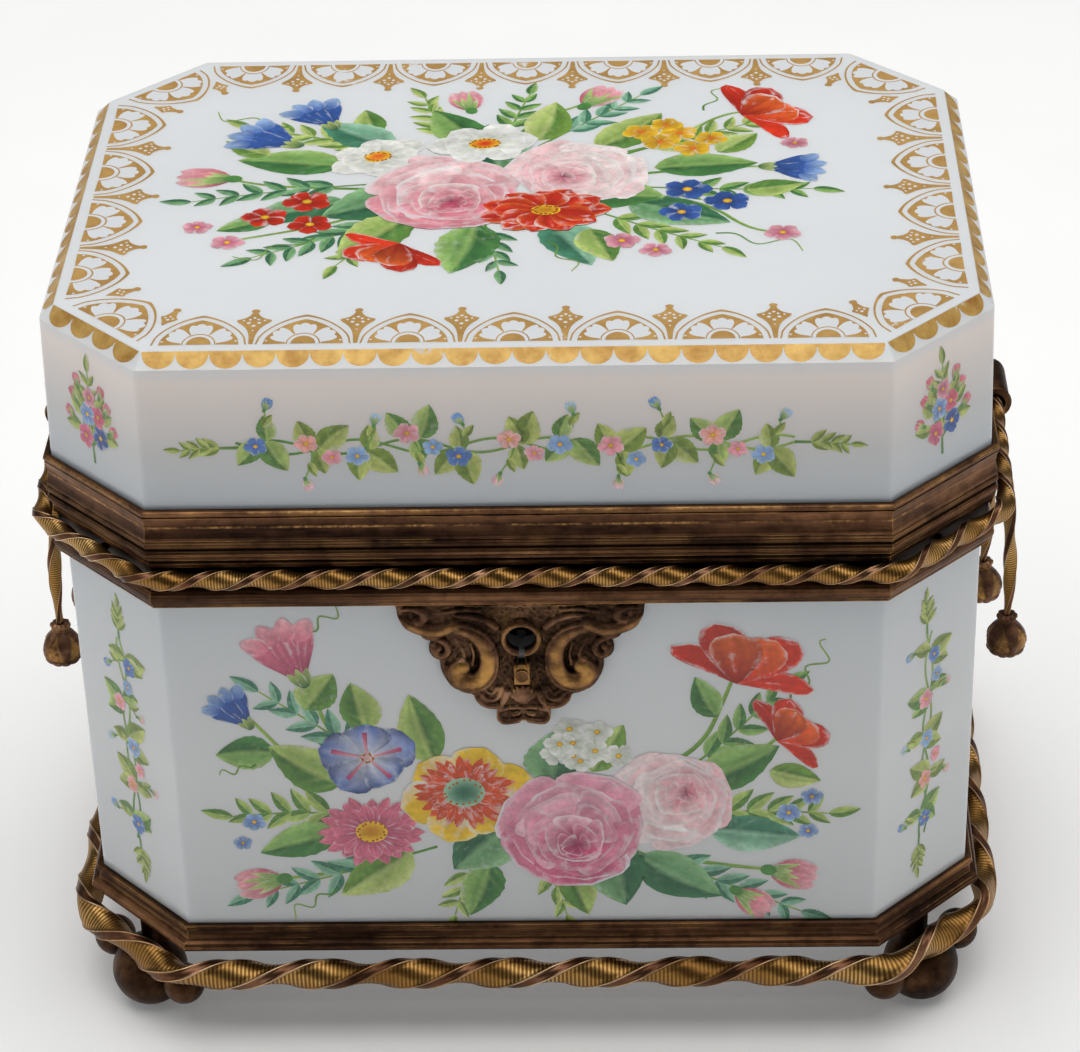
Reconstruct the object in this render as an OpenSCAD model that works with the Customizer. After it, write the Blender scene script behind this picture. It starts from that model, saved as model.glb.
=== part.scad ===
// Hinged casket of opal glass with cast brass mounts.
// A glass lid and a glass base with cut corners are held in moulded bands. A two-strand rope
// runs round the front at the waist and ends in tassels, and a thicker one lies on ball feet.
// Millimetres, +Z up. The origin is the middle of the box on the table, and the front faces -Y.

/* [Box] */
// Width of the lid glass at its rim
box_w = 140; // [120:1:170]
// Depth of the lid glass at its rim
box_d = 102; // [90:1:130]
// Height of the closed box
box_h = 122.2; // [112:0.1:140]
// Height of the line where the lid parts from the base
part_z = 88.4; // [80:0.1:95]
// How far each corner is cut back
corner_cut = 16; // [13:0.5:20]
// Gap between the closed lid band and the rim band
part_gap = 0.1; // [0.05:0.05:0.3]

/* [Glass] */
// Wall of the lid glass and the base glass
glass_t = 4.5; // [3.5:0.1:5]
// Thickness of the lid's top
lid_top_t = 5; // [4:0.1:7]
// Thickness of the base's floor
base_floor_t = 5; // [4:0.1:7]
// Radius of the upright edges
glass_r = 1.2; // [0.5:0.1:2]
// How far the lid glass draws in on its way up
lid_draft = 0.7; // [0:0.1:1.5]
// Width of the bevel round the lid's top
bevel_w = 2.2; // [1:0.1:3]
// Height of the bevel round the lid's top
bevel_h = 2; // [1:0.1:3]
// How much the base glass stands in from the lid glass
base_inset = 1.1; // [0.8:0.1:1.4]
// Cement gap between glass and brass
cement = 0.05; // [0.03:0.01:0.1]

/* [Bands] */
// Height of the lid band
lid_band_h = 9; // [8:0.1:11]
// Height of the rim band
rim_band_h = 8; // [7.6:0.1:9]
// Height of the foot band
foot_band_h = 4.6; // [4.2:0.1:6]
// Height of the foot band's underside
foot_z = 15.8; // [15:0.1:20]
// Thickness of the ledges that carry or cover the glass
ledge_t = 1.2; // [1:0.1:1.6]
// Width of the foot band's ledge under the glass
ledge_w = 8; // [7:0.5:10]
// Thickness of the upright legs inside the mouth
leg_t = 0.8; // [0.6:0.1:1]
// Height of the rim that stands up inside the closed lid
upstand_h = 1.3; // [0.8:0.1:1.6]

/* [Ropes] */
// Radius of the skirt rope
skirt_r = 2.45; // [2:0.05:2.8]
// Length of one turn of the skirt rope
skirt_pitch = 29; // [22:0.5:36]
// Height of the skirt rope's middle
skirt_z = 12.6; // [12:0.1:13]
// How far the skirt rope's middle stands out from the lid glass
skirt_out = 2.2; // [2:0.1:3]
// How much further the skirt rope stands out over the balls
skirt_swell = 0.8; // [0.4:0.1:1.2]
// Radius of the waist rope
waist_r = 1.55; // [1.3:0.05:1.6]
// Length of one turn of the waist rope
waist_pitch = 16; // [12:0.5:20]
// How far below the parting line the waist rope's middle lies
waist_drop = 2.4; // [2.3:0.05:2.6]
// How far the waist rope's middle stands out from the lid glass at the front
waist_out = 1.35; // [1.35:0.05:1.8]
// How far the waist rope's middle stands out from the lid glass at the sides
waist_side_out = 2.5; // [2.2:0.1:3]
// Radius of the ropes' bends round the corners
rope_bend = 6; // [5:0.5:8]
// Sides of a rope's section
rope_sides = 10; // [8:2:12]
// Rings in each turn of a rope
rope_rings = 16; // [14:1:20]
// Radius of the studs behind the waist rope
stud_r = 0.6; // [0.5:0.05:0.8]

/* [Rope caps and tassels] */
// Radius of a cap's body
cap_r = 2.5; // [2.2:0.05:2.6]
// Length of a cap with its round end
cap_len = 12; // [11:0.5:14]
// How far the middle of a cap stands out from the lid glass
cap_out = 3.4; // [3.2:0.1:4]
// Where the mouth of a cap lies, in front of the box's middle
cap_mouth = 4; // [3:0.5:8]
// Radius of a tassel cord where it is thickest
cord_r = 1.35; // [1.1:0.05:1.5]
// Length of one turn of a tassel cord
cord_pitch = 7; // [5:0.5:9]
// How far a front tassel's head stands out from the lid glass
tassel_out_front = 6.7; // [6:0.1:8]
// How far a back tassel's head stands out from the lid glass
tassel_out_back = 4.2; // [4:0.1:6]
// Half the distance between the two heads on a side
tassel_spread = 8; // [7:0.5:10]
// Height of the top of a tassel's head
tassel_z = 49.3; // [45:0.5:55]
// Widest radius of a tassel's head
head_r = 3.5; // [3:0.1:4]
// Length of a tassel's head
head_len = 8; // [7:0.5:10]

/* [Feet] */
// Radius of a corner's large ball
ball_r = 6; // [5.5:0.1:6.2]
// Radius of a corner's small balls
small_ball_r = 3.3; // [2.8:0.1:3.5]
// Height of the small balls' middles
small_ball_z = 7.4; // [7:0.1:7.6]
// Depth of the flat that a large ball stands on
foot_flat = 0.3; // [0.2:0.05:0.5]
// Radius of the post between a foot and the foot band
post_r = 2.3; // [2:0.1:2.4]
// Radius of a foot screw
foot_screw_r = 1; // [0.8:0.1:1.2]

/* [Lock] */
// Height of the keyhole's middle
key_z = 74.1; // [73:0.1:75]
// Radius of the keyhole
key_r = 2.1; // [1.8:0.05:2.2]
// Radius of the hole in the glass behind the keyhole
glass_key_r = 3.2; // [2.8:0.1:3.5]
// Thickness of the lock plate
plate_t = 1.1; // [0.9:0.1:1.3]
// Radius of the screw that holds the lock plate
plate_screw_r = 1; // [0.8:0.1:1.1]
// Height of the screw that holds the lock plate
plate_screw_z = 68.2; // [68:0.1:68.6]
// Width of the lock case
case_w = 24; // [22:0.5:30]
// Depth of the lock case
case_d = 6; // [6:0.1:7]
// Height of the lock case
case_h = 22.5; // [21.5:0.1:24]
// Travel of the lock bolt
bolt_travel = 5; // [4.5:0.1:5]
// Height of the lock bolt
bolt_h = 2; // [1.8:0.1:2.2]
// Thickness of the lock bolt
bolt_t = 1.8; // [1.6:0.1:2]
// Running gap round the lock bolt
bolt_gap = 0.08; // [0.05:0.01:0.1]
// Radius of the pin that guides a pipe key
key_pin_r = 0.7; // [0.5:0.05:0.8]

/* [Hinge] */
// Length of the hinge
hinge_w = 44; // [36:1:56]
// Radius of the hinge knuckles
knuckle_r = 1.9; // [1.7:0.05:2]
// Radius of the hinge pin
hinge_pin_r = 0.8; // [0.7:0.05:0.9]
// Running gap round the hinge pin
pin_gap = 0.05; // [0.03:0.01:0.1]
// How far the hinge pin stands out from the lid glass
hinge_out = 2.6; // [2.6:0.05:2.8]
// Gap between neighbouring knuckles
knuckle_gap = 0.15; // [0.1:0.05:0.3]
// Thickness of the hinge leaves
leaf_t = 0.8; // [0.7:0.05:0.9]
// Angle at which the hinge stops the open lid
open_max = 100; // [92:1:105]
// Radius of the rivets
rivet_r = 0.7; // [0.5:0.05:0.8]

/* [Hidden] */

$fn = 48;
half_w = box_w / 2;
half_d = box_d / 2;
brass = [0.42, 0.29, 0.2];
gilt = [0.62, 0.46, 0.22];
opal = [0.87, 0.89, 0.91];

// offsets from the lid glass's rim line, outwards positive
base_o = -base_inset;
base_in_o = base_o - glass_t;
band_in_o = base_o + cement;
leg_in_o = base_in_o - cement - leg_t;
lid_in_o = -glass_t;
lid_flange_o = leg_in_o + leg_t + 0.5;
recess_o = base_o + 0.8;
lip_o = recess_o + 0.6;
bead_o = 1;

// heights
rim_z = part_z - rim_band_h;
rim_top_in = part_z - ledge_t;
base_bottom = foot_z + ledge_t;
base_top = rim_top_in - cement;
lid_z = part_z + part_gap;
lid_seat = lid_z + ledge_t;
waist_z = part_z - waist_drop;
ball_z = ball_r - foot_flat;

// front and back faces
glass_front = half_d + base_o;
case_front = half_d + leg_in_o;

// ---- outlines -------------------------------------------------------------

// the eight corners of the box's outline moved out by o, its cut corners by e more
function oct_v(o, e = 0) =
  let (x = half_w + o, y = half_d + o, c = corner_cut + (2 - sqrt(2)) * o - sqrt(2) * e)
  [[-x + c, -y], [x - c, -y], [x, -y + c], [x, y - c],
   [x - c, y], [-x + c, y], [-x, y - c], [-x, -y + c]];

// the same outline with rounded corners
function oct_round(o, r, n = 3) =
  let (v = oct_v(o - r))
  [for (i = [0:7]) for (k = [0:n]) let (a = -135 + 45 * i + 45 * k / n) v[i] + r * [cos(a), sin(a)]];

// an arc of n steps in a profile
function arc(c, r, a0, a1, n = 4) =
  [for (k = [0:n]) let (a = a0 + (a1 - a0) * k / n) c + r * [cos(a), sin(a)]];

// an upright oval
function oval(c, rx, ry, n = 28) =
  [for (k = [0:n - 1]) c + [rx * cos(360 * k / n), ry * sin(360 * k / n)]];

module prism(o, z0, z1, r) {
  translate([0, 0, z0])
    linear_extrude(z1 - z0)
      polygon(oct_round(o, r));
}

// a moulding with mitred corners: the profile holds [offset, height] points, anticlockwise
module moulding(profile) {
  m = len(profile);
  rings = [for (p = profile) oct_v(p[0])];
  polyhedron(
    points = [for (i = [0:7]) for (j = [0:m - 1]) [rings[j][i][0], rings[j][i][1], profile[j][1]]],
    faces = [for (i = [0:7]) for (j = [0:m - 1])
      let (i2 = (i + 1) % 8, j2 = (j + 1) % m)
      [i * m + j, i * m + j2, i2 * m + j2, i2 * m + j]]);
}

// ---- ropes ----------------------------------------------------------------

function unit(v) = v / norm(v);
function turned(v, a) = [v[0] * cos(a) - v[1] * sin(a), v[0] * sin(a) + v[1] * cos(a)];
function heading(v, k) = unit(v[k + 1] - v[k]);
function bend_angle(v, k) = acos(min(1, heading(v, k - 1) * heading(v, k)));
function bend_trim(v, k, r) = (k == 0 || k == len(v) - 1) ? 0 : r * tan(bend_angle(v, k) / 2);

// a route through v that turns left round its corners with radius r, in even steps
function route(v, r, step) =
  [for (k = [0:len(v) - 2])
    let (
      d = heading(v, k),
      a = v[k] + d * bend_trim(v, k, r),
      b = v[k + 1] - d * bend_trim(v, k + 1, r),
      n = max(1, round(norm(b - a) / step)),
      last = k == len(v) - 2,
      w = last ? 0 : bend_angle(v, k + 1),
      m = max(1, round(r * w * PI / 180 / step)),
      c = b + r * [-d[1], d[0]])
    each concat(
      [for (j = [0:n - 1]) a + (b - a) * j / n],
      last ? [b] : [for (j = [0:m - 1]) c + turned(b - c, w * j / m)])];

function run_lengths(p) =
  [for (i = 0, s = 0; i < len(p); s = s + (i + 1 < len(p) ? norm(p[i + 1] - p[i]) : 0), i = i + 1) s];

// the section of two strands laid together, as a share of the rope's radius
function strand_share(a) = 0.82 + 0.18 * cos(2 * a);

// side faces of a swept tube with n rings of m points, closed into a loop or not
function tube_faces(n, m, loop) =
  [for (i = [0:n - (loop ? 1 : 2)]) for (j = [0:m - 1])
    let (a = i * m + j, b = i * m + (j + 1) % m, c = ((i + 1) % n) * m + (j + 1) % m, d = ((i + 1) % n) * m + j)
    each [[a, b, c], [a, c, d]]];

// a two-strand rope along a level route
module rope(p, z, r, pitch, loop = false) {
  n = len(p);
  m = rope_sides;
  s = run_lengths(p);
  total = s[n - 1] + (loop ? norm(p[0] - p[n - 1]) : 0);
  lay = total / round(total / pitch);
  points = [for (i = [0:n - 1])
    let (
      before = loop ? p[(i + n - 1) % n] : p[max(i - 1, 0)],
      after = loop ? p[(i + 1) % n] : p[min(i + 1, n - 1)],
      t = unit(after - before))
    for (j = [0:m - 1])
      let (a = 360 * j / m, k = r * strand_share(a), q = a + 360 * s[i] / lay)
      [p[i][0] + t[1] * k * cos(q), p[i][1] - t[0] * k * cos(q), z + k * sin(q)]];
  ends = loop ? [] : [[for (j = [m - 1:-1:0]) j], [for (j = [0:m - 1]) (n - 1) * m + j]];
  polyhedron(points = points, faces = concat(tube_faces(n, m, loop), ends));
}

// half the skirt rope's corners lie either side of the middle of the back
function skirt_route() =
  let (
    v = oct_v(skirt_out, skirt_swell),
    y = half_d + skirt_out,
    p = route([[0, y], v[5], v[6], v[7], v[0], v[1], v[2], v[3], v[4], [0, y]], rope_bend, skirt_pitch / rope_rings))
  [for (i = [0:len(p) - 2]) p[i]];

waist_swell = 0.4;
waist_side = half_w + waist_side_out;
cap_x = half_w + cap_out;
waist_y = half_d + waist_out;
waist_sum = half_w + half_d - corner_cut + sqrt(2) * (waist_out + waist_swell);
rope_end_y = -cap_mouth + 3.95;

function waist_route() =
  route([[-cap_x, rope_end_y], [-waist_side, waist_side - waist_sum], [waist_y - waist_sum, -waist_y],
    [waist_sum - waist_y, -waist_y], [waist_side, waist_side - waist_sum], [cap_x, rope_end_y]],
    rope_bend, waist_pitch / rope_rings);

module skirt_rope() {
  color(gilt) rope(skirt_route(), skirt_z, skirt_r, skirt_pitch, loop = true);
}

module waist_rope() {
  color(gilt) rope(waist_route(), waist_z, waist_r, waist_pitch);
}

// x of the waist rope's middle on its side run at a given y
function waist_side_x(y) =
  let (y0 = waist_side - waist_sum) waist_side + (cap_x - waist_side) * (y - y0) / (rope_end_y - y0);

cap_stud_y = cap_len - cap_mouth - 5;
stud_ys = [-26, -14];

module rope_studs() {
  foot_x = half_w + recess_o;
  color(brass)
    for (s = [-1, 1]) {
      for (y = stud_ys)
        translate([s * foot_x, y, waist_z])
          rotate([0, s * 90, 0])
            cylinder(h = waist_side_x(y) - waist_r - foot_x - 0.02, r = stud_r);
      translate([s * foot_x, cap_stud_y, waist_z])
        rotate([0, s * 90, 0])
          cylinder(h = cap_x - cap_r + 0.6 - foot_x, r = stud_r);
      v = oct_v(recess_o);
      translate([s * (v[1][0] + v[2][0]) / 2, (v[1][1] + v[2][1]) / 2, waist_z])
        rotate([0, 90, s > 0 ? -45 : -135])
          cylinder(h = waist_out + waist_swell - waist_r - recess_o - 0.02, r = stud_r);
    }
}

// ---- rope caps and tassels ------------------------------------------------

boss_r = 1.3;
boss_ys = [-1.2, 3.6];
boss_bottom = waist_z - cap_r - 0.8;

// bell on the end of the waist rope, its mouth to the front, with a boss for each cord
module rope_cap(s) {
  color(brass)
    translate([s * cap_x, 0, 0])
      difference() {
        union() {
          translate([0, -cap_mouth, waist_z])
            rotate([-90, 0, 0])
              rotate_extrude()
                polygon(concat(
                  [[0, 0], [cap_r + 0.1, 0]],
                  arc([cap_r, 0.5], 0.25, -60, 90, 3),
                  [[cap_r - 0.1, 1.1], [cap_r, 2]],
                  arc([0, cap_len - cap_r], cap_r, 0, 90, 6)));
          for (y = boss_ys)
            translate([0, y, boss_bottom])
              cylinder(h = 1.4, r = boss_r);
        }
        translate([0, -cap_mouth - 1, waist_z])
          rotate([-90, 0, 0])
            cylinder(h = 5, r = waist_r + 0.2);
        translate([-s * cap_x, cap_stud_y, waist_z])
          rotate([0, s * 90, 0])
            cylinder(h = cap_x - cap_r + 0.65, r = stud_r + 0.05);
      }
}

module rope_cap_left() {
  rope_cap(-1);
}

module rope_cap_right() {
  rope_cap(1);
}

// a cord bows outwards on its way down from its boss to the tassel's head
function bow(a, b, c, t) = (1 - t) * (1 - t) * a + 2 * t * (1 - t) * b + t * t * c;
function cord_radius(t) = t < 0.55 ? cord_r * (0.85 + 0.15 * sin(90 * t / 0.55))
  : cord_r * (1 - 0.35 * (t - 0.55) / 0.45);

module tassel_cord(s, out, y0, y1) {
  a = [cap_x, y0, boss_bottom];
  c = [half_w + out, y1, tassel_z];
  b = [max(cap_x, half_w + out) + 1.2, (y0 + y1) / 2, (a[2] + c[2]) / 2];
  m = 8;
  n = round((a[2] - c[2]) / cord_pitch * 7);
  points = [for (i = [0:n])
    let (t = i / n, p = bow(a, b, c, t))
    for (j = [0:m - 1])
      let (
        f = 360 * j / m,
        q = f + 360 * t * (a[2] - c[2]) / cord_pitch,
        k = cord_radius(t) * strand_share(f))
      [s * p[0] + k * cos(q), p[1] - k * sin(q), p[2]]];
  ends = [[for (j = [m - 1:-1:0]) j], [for (j = [0:m - 1]) n * m + j]];
  color(gilt) polyhedron(points = points, faces = concat(tube_faces(n + 1, m, false), ends));
}

// a fluted bell with a collar
module tassel_head(s, out, y) {
  neck_r = cord_r * 0.75;
  widest = head_len * 0.7;
  color(brass)
    translate([s * (half_w + out), y, tassel_z])
      rotate([180, 0, 0])
        difference() {
          rotate_extrude()
            polygon(concat(
              [[0, 0], [neck_r + 0.2, 0], [neck_r + 0.6, 0.35], [neck_r + 0.6, 0.8], [neck_r + 0.1, 1.2]],
              [for (k = [1:5]) let (t = k / 6) [neck_r + (head_r - neck_r) * sin(90 * t), 1.2 + (widest - 1.2) * t]],
              arc([head_r - 1.2, widest], 1.2, 0, 90, 4),
              [[head_r - 1.6, widest + 1.2], [0, head_len]]));
          for (k = [0:5])
            rotate([0, 0, 60 * k + 30])
              translate([head_r + 0.15, 0, 2.2])
                cylinder(h = head_len, r = 0.75, $fn = 32);
        }
}

module tassel_cord_left_front() {
  tassel_cord(-1, tassel_out_front, boss_ys[0], -tassel_spread);
}

module tassel_cord_left_back() {
  tassel_cord(-1, tassel_out_back, boss_ys[1], tassel_spread);
}

module tassel_cord_right_front() {
  tassel_cord(1, tassel_out_front, boss_ys[0], -tassel_spread);
}

module tassel_cord_right_back() {
  tassel_cord(1, tassel_out_back, boss_ys[1], tassel_spread);
}

module tassel_left_front() {
  tassel_head(-1, tassel_out_front, -tassel_spread);
}

module tassel_left_back() {
  tassel_head(-1, tassel_out_back, tassel_spread);
}

module tassel_right_front() {
  tassel_head(1, tassel_out_front, -tassel_spread);
}

module tassel_right_back() {
  tassel_head(1, tassel_out_back, tassel_spread);
}

// ---- feet -----------------------------------------------------------------

// the large ball's middle lies inside the skirt rope's run across the cut corner
ball_in = 3.46;
ball_o = skirt_out + skirt_swell - ball_in;
ball_x = (oct_v(ball_o)[1][0] + oct_v(ball_o)[2][0]) / 2;
ball_y = -(oct_v(ball_o)[1][1] + oct_v(ball_o)[2][1]) / 2;
small_ball_step = ball_r + small_ball_r - 0.5;
post_in = 1.8;
post_x = ball_x - post_in / sqrt(2);
post_y = ball_y - post_in / sqrt(2);

module foot(sx, sy) {
  color(brass)
    scale_corner(sx, sy)
      difference() {
        union() {
          translate([ball_x, ball_y, ball_z])
            sphere(r = ball_r);
          for (k = [-1, 1])
            translate([ball_x + k * small_ball_step / sqrt(2), ball_y - k * small_ball_step / sqrt(2), small_ball_z])
              sphere(r = small_ball_r);
          translate([post_x, post_y, ball_z])
            cylinder(h = foot_z - ball_z, r = post_r);
        }
        translate([ball_x, ball_y, -ball_r])
          cube([4 * ball_r, 4 * ball_r, 2 * ball_r], center = true);
        // saddle for the skirt rope
        translate([ball_x + ball_in / sqrt(2), ball_y + ball_in / sqrt(2), skirt_z])
          rotate([0, 90, -45])
            cylinder(h = 30, r = skirt_r + 0.05, center = true);
        translate([post_x, post_y, foot_z - 4.5])
          cylinder(h = 5, r = foot_screw_r + cement);
      }
}

// moves a shape made for the corner at +X +Y to another corner
module scale_corner(sx, sy) {
  mirror([sx < 0 ? 1 : 0, 0, 0])
    mirror([0, sy < 0 ? 1 : 0, 0])
      children();
}

module foot_front_left() {
  foot(-1, -1);
}

module foot_front_right() {
  foot(1, -1);
}

module foot_back_left() {
  foot(-1, 1);
}

module foot_back_right() {
  foot(1, 1);
}

module foot_screw_shape(gap) {
  translate([post_x, post_y, foot_z - 4 - gap])
    cylinder(h = 4 + ledge_t + gap, r = foot_screw_r + gap);
  translate([post_x, post_y, foot_z + ledge_t - 0.7])
    cylinder(h = 0.7, r1 = foot_screw_r + gap, r2 = foot_screw_r + 0.7 + gap);
}

module foot_screws() {
  color(brass)
    for (sx = [-1, 1])
      for (sy = [-1, 1])
        scale_corner(sx, sy)
          foot_screw_shape(0);
}

// ---- bands ----------------------------------------------------------------

module foot_band() {
  z = foot_z;
  h = foot_band_h;
  color(brass)
    difference() {
      moulding(concat(
        [[base_o - ledge_w, z], [band_in_o + 0.6, z]],
        arc([0.1, z + 1.05], 0.95, -80, 80, 5),
        [[base_o + 0.85, z + 2.15]],
        [[base_o + 0.7, z + 2.6], [base_o + 0.75, z + h - 1.3]],
        arc([base_o + 0.65, z + h - 0.5], 0.5, -80, 90, 4),
        [[band_in_o, z + h], [band_in_o, z + ledge_t], [base_o - ledge_w, z + ledge_t]]));
      for (sx = [-1, 1])
        for (sy = [-1, 1])
          scale_corner(sx, sy)
            foot_screw_shape(cement);
    }
}

module rim_band() {
  z = rim_z;
  roll = 1.75;
  color(brass)
    difference() {
      moulding(concat(
        [[band_in_o, z], [band_in_o + 1.15, z]],
        arc([recess_o + 1.1 - roll, z + 1.85], roll, -55, 60, 6),
        [[recess_o, z + 3.6], [recess_o, rim_top_in + 0.1], [lip_o, rim_top_in + 0.4], [lip_o, part_z - 0.2],
         [lip_o - 0.2, part_z], [leg_in_o + leg_t, part_z], [leg_in_o + leg_t, part_z + upstand_h],
         [leg_in_o, part_z + upstand_h], [leg_in_o, part_z - 4], [base_in_o - cement, part_z - 4],
         [base_in_o - cement, rim_top_in], [band_in_o, rim_top_in]]));
      hinge_pocket(recess_o);
      // gap in the upstand for the lid's catch
      translate([-catch_half - 1.5, -half_d - leg_in_o - leg_t - 0.1, part_z])
        cube([2 * catch_half + 3, leg_t + 0.2, upstand_h + 1]);
      for (x = lock_screw_xs)
        translate([x, -case_front - leg_t - 0.1, lock_screw_z])
          rotate([-90, 0, 0])
            cylinder(h = leg_t + 0.2, r = lock_screw_r + cement);
      for (x = rivet_xs)
        translate([x, half_d + band_in_o - 0.1, base_rivet_z])
          rotate([-90, 0, 0])
            cylinder(h = 3, r = rivet_r + cement);
    }
}

module lid_band() {
  z = lid_z;
  h = lid_band_h;
  top = z + h;
  // a wide shallow hollow between two beads
  cove_r = (h - 5.5) * 1.5;
  color(brass)
    difference() {
      union() {
        moulding(concat(
          [[lid_flange_o, z], [0.1, z], [0.35, z + 0.3]],
          arc([bead_o - 0.75, z + 1.55], 0.75, -85, 75, 5),
          arc([bead_o - 0.6, z + 3.15], 0.6, -70, 65, 4),
          [[bead_o - 0.2, z + 3.85]],
          arc([0.5 + cove_r, (z + 4.3 + top - 1.2) / 2], cove_r, 199.5, 160.5, 8),
          arc([0.42, top - 0.55], 0.55, -70, 90, 5),
          [[cement, top], [cement, lid_seat], [lid_flange_o, lid_seat]]));
        // tab that carries the catch
        translate([-catch_half, -half_d - lid_flange_o - 0.5, z])
          cube([2 * catch_half, catch_tab_d + 0.5, ledge_t]);
      }
      hinge_pocket(leaf_seat_o);
      translate([-catch_t / 2 - cement, catch_y - catch_d / 2 - cement, z - 1])
        cube([catch_t + 2 * cement, catch_d + 2 * cement, ledge_t + 2]);
      for (x = catch_rivet_xs)
        translate([x, catch_y, z - 1])
          cylinder(h = ledge_t + 2, r = catch_rivet_r + cement);
      for (x = rivet_xs)
        translate([x, half_d, lid_rivet_z])
          rotate([-90, 0, 0])
            cylinder(h = 3, r = rivet_r + cement);
    }
}

// ---- glass ----------------------------------------------------------------

module base_glass() {
  color(opal)
    difference() {
      prism(base_o, base_bottom, base_top, glass_r);
      prism(base_in_o, base_bottom + base_floor_t, base_top + 1, 3);
      translate([0, -glass_front - 1, key_z])
        rotate([-90, 0, 0])
          cylinder(h = glass_t + 2, r = glass_key_r);
      translate([0, -glass_front - 1, plate_screw_z])
        rotate([-90, 0, 0])
          cylinder(h = glass_t + 2, r = plate_screw_r + 0.1);
    }
}

module slab(o, z, r) {
  translate([0, 0, z])
    linear_extrude(0.01)
      polygon(oct_round(o, r));
}

module lid_glass() {
  color(opal)
    difference() {
      hull() {
        slab(0, lid_seat, glass_r);
        slab(-lid_draft, box_h - bevel_h, glass_r);
        slab(-lid_draft - bevel_w, box_h - 0.01, glass_r);
      }
      hull() {
        slab(lid_in_o, lid_seat - 1, 3);
        slab(lid_in_o - lid_draft, box_h - lid_top_t, 3);
      }
    }
}

// ---- lock -----------------------------------------------------------------

catch_half = 5.5;
catch_t = 1.6;
catch_d = 3.6;
catch_y = -case_front + 2.8;
catch_tab_d = 6.6;
catch_head_t = 1.2;
catch_rivet_r = 0.6;
catch_rivet_xs = [-3.4, 3.4];
bolt_z = part_z - 6.8;
bolt_y = catch_y;
bolt_len = 9;
bolt_tip = -catch_t / 2 - 1;
catch_bottom = bolt_z - 1.2;
case_x = -13;
case_top = part_z - 0.6;
case_bottom = case_top - case_h;
lock_screw_r = 0.8;
lock_screw_xs = [-10.5, 8.5];
lock_screw_z = part_z - 2.6;

// lays a shape drawn in X and Z against the front, growing outwards
module on_front(y) {
  translate([0, -y, 0])
    rotate([90, 0, 0])
      children();
}

// everything on the lock plate is measured from the keyhole's middle
module plate_outline() {
  top = rim_z - key_z;
  for (s = [-1, 1]) {
    polygon([[0, top], [18.4 * s, top], [18.2 * s, 4.4], [17 * s, 2], [14.2 * s, 0.2], [11 * s, -1.5], [4 * s, -8],
      [0, -8]]);
    translate([11.7 * s, -1.8])
      circle(r = 2.05);
    polygon(oval([7.3 * s, -4.1], 4.9, 5.9));
    translate([4.3 * s, -9.6])
      circle(r = 3.05);
    translate([2.1 * s, -13.7])
      circle(r = 2);
  }
  translate([-2.6, -14.6])
    square([5.2, 8]);
}

// a rounded scroll: part of a ring lying on the plate
module scroll(c, r, t, a0, a1) {
  translate([c[0], c[1], plate_t])
    rotate([0, 0, a0])
      rotate_extrude(angle = a1 - a0)
        translate([r, 0])
          circle(r = t, $fn = 32);
}

module dome(c, r, rise) {
  translate([c[0], c[1], plate_t + rise - r])
    intersection() {
      sphere(r = r);
      translate([0, 0, r])
        cube([2 * r, 2 * r, 2 * (rise + 0.4)], center = true);
    }
}

module lock_plate() {
  color(brass)
    translate([0, 0, key_z])
      on_front(glass_front)
        difference() {
          union() {
            linear_extrude(plate_t)
              plate_outline();
            for (s = [0, 1])
              mirror([s, 0, 0]) {
                scroll([7.2, -4], 4.5, 0.8, -150, 135);
                scroll([11.7, -1.8], 1.25, 0.55, 0, 360);
                scroll([12.6, 4.3], 2.5, 0.6, 180, 350);
                dome([8.4, -6.9], 2.4, 1.1);
                scroll([4.3, -9.4], 2.3, 0.5, 200, 350);
                scroll([4.3, -9.4], 1.1, 0.45, 190, 360);
                dome([2.1, -13.7], 1.8, 0.9);
              }
            scroll([0, 0], key_r + 0.55, 0.4, -50, 230);
            translate([-1.25, plate_screw_z - key_z - 1.8, 0])
              cube([2.5, 3.6, plate_t + 0.9]);
            for (a = [-32, 0, 32])
              translate([0, -8, plate_t - 0.07])
                rotate([0, 0, a])
                  translate([0, -1.4, 0])
                    rotate([90, 0, 0])
                      cylinder(h = 2.7, r1 = 0.3, r2 = 0.62);
          }
          translate([0, 0, -1])
            cylinder(h = 6, r = key_r);
          translate([-0.7, -4, -1])
            cube([1.4, 4, 6]);
          translate([0, plate_screw_z - key_z, -1])
            cylinder(h = 6, r = plate_screw_r + cement);
        }
}

module lock_plate_screw() {
  reach = glass_front - case_front + 2;
  color(gilt)
    translate([0, 0, plate_screw_z])
      on_front(glass_front) {
        translate([0, 0, -reach])
          cylinder(h = reach + plate_t + 0.9, r = plate_screw_r);
        translate([0, 0, plate_t + 0.9])
          cylinder(h = 0.3, r = plate_screw_r + 0.1);
      }
}

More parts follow.
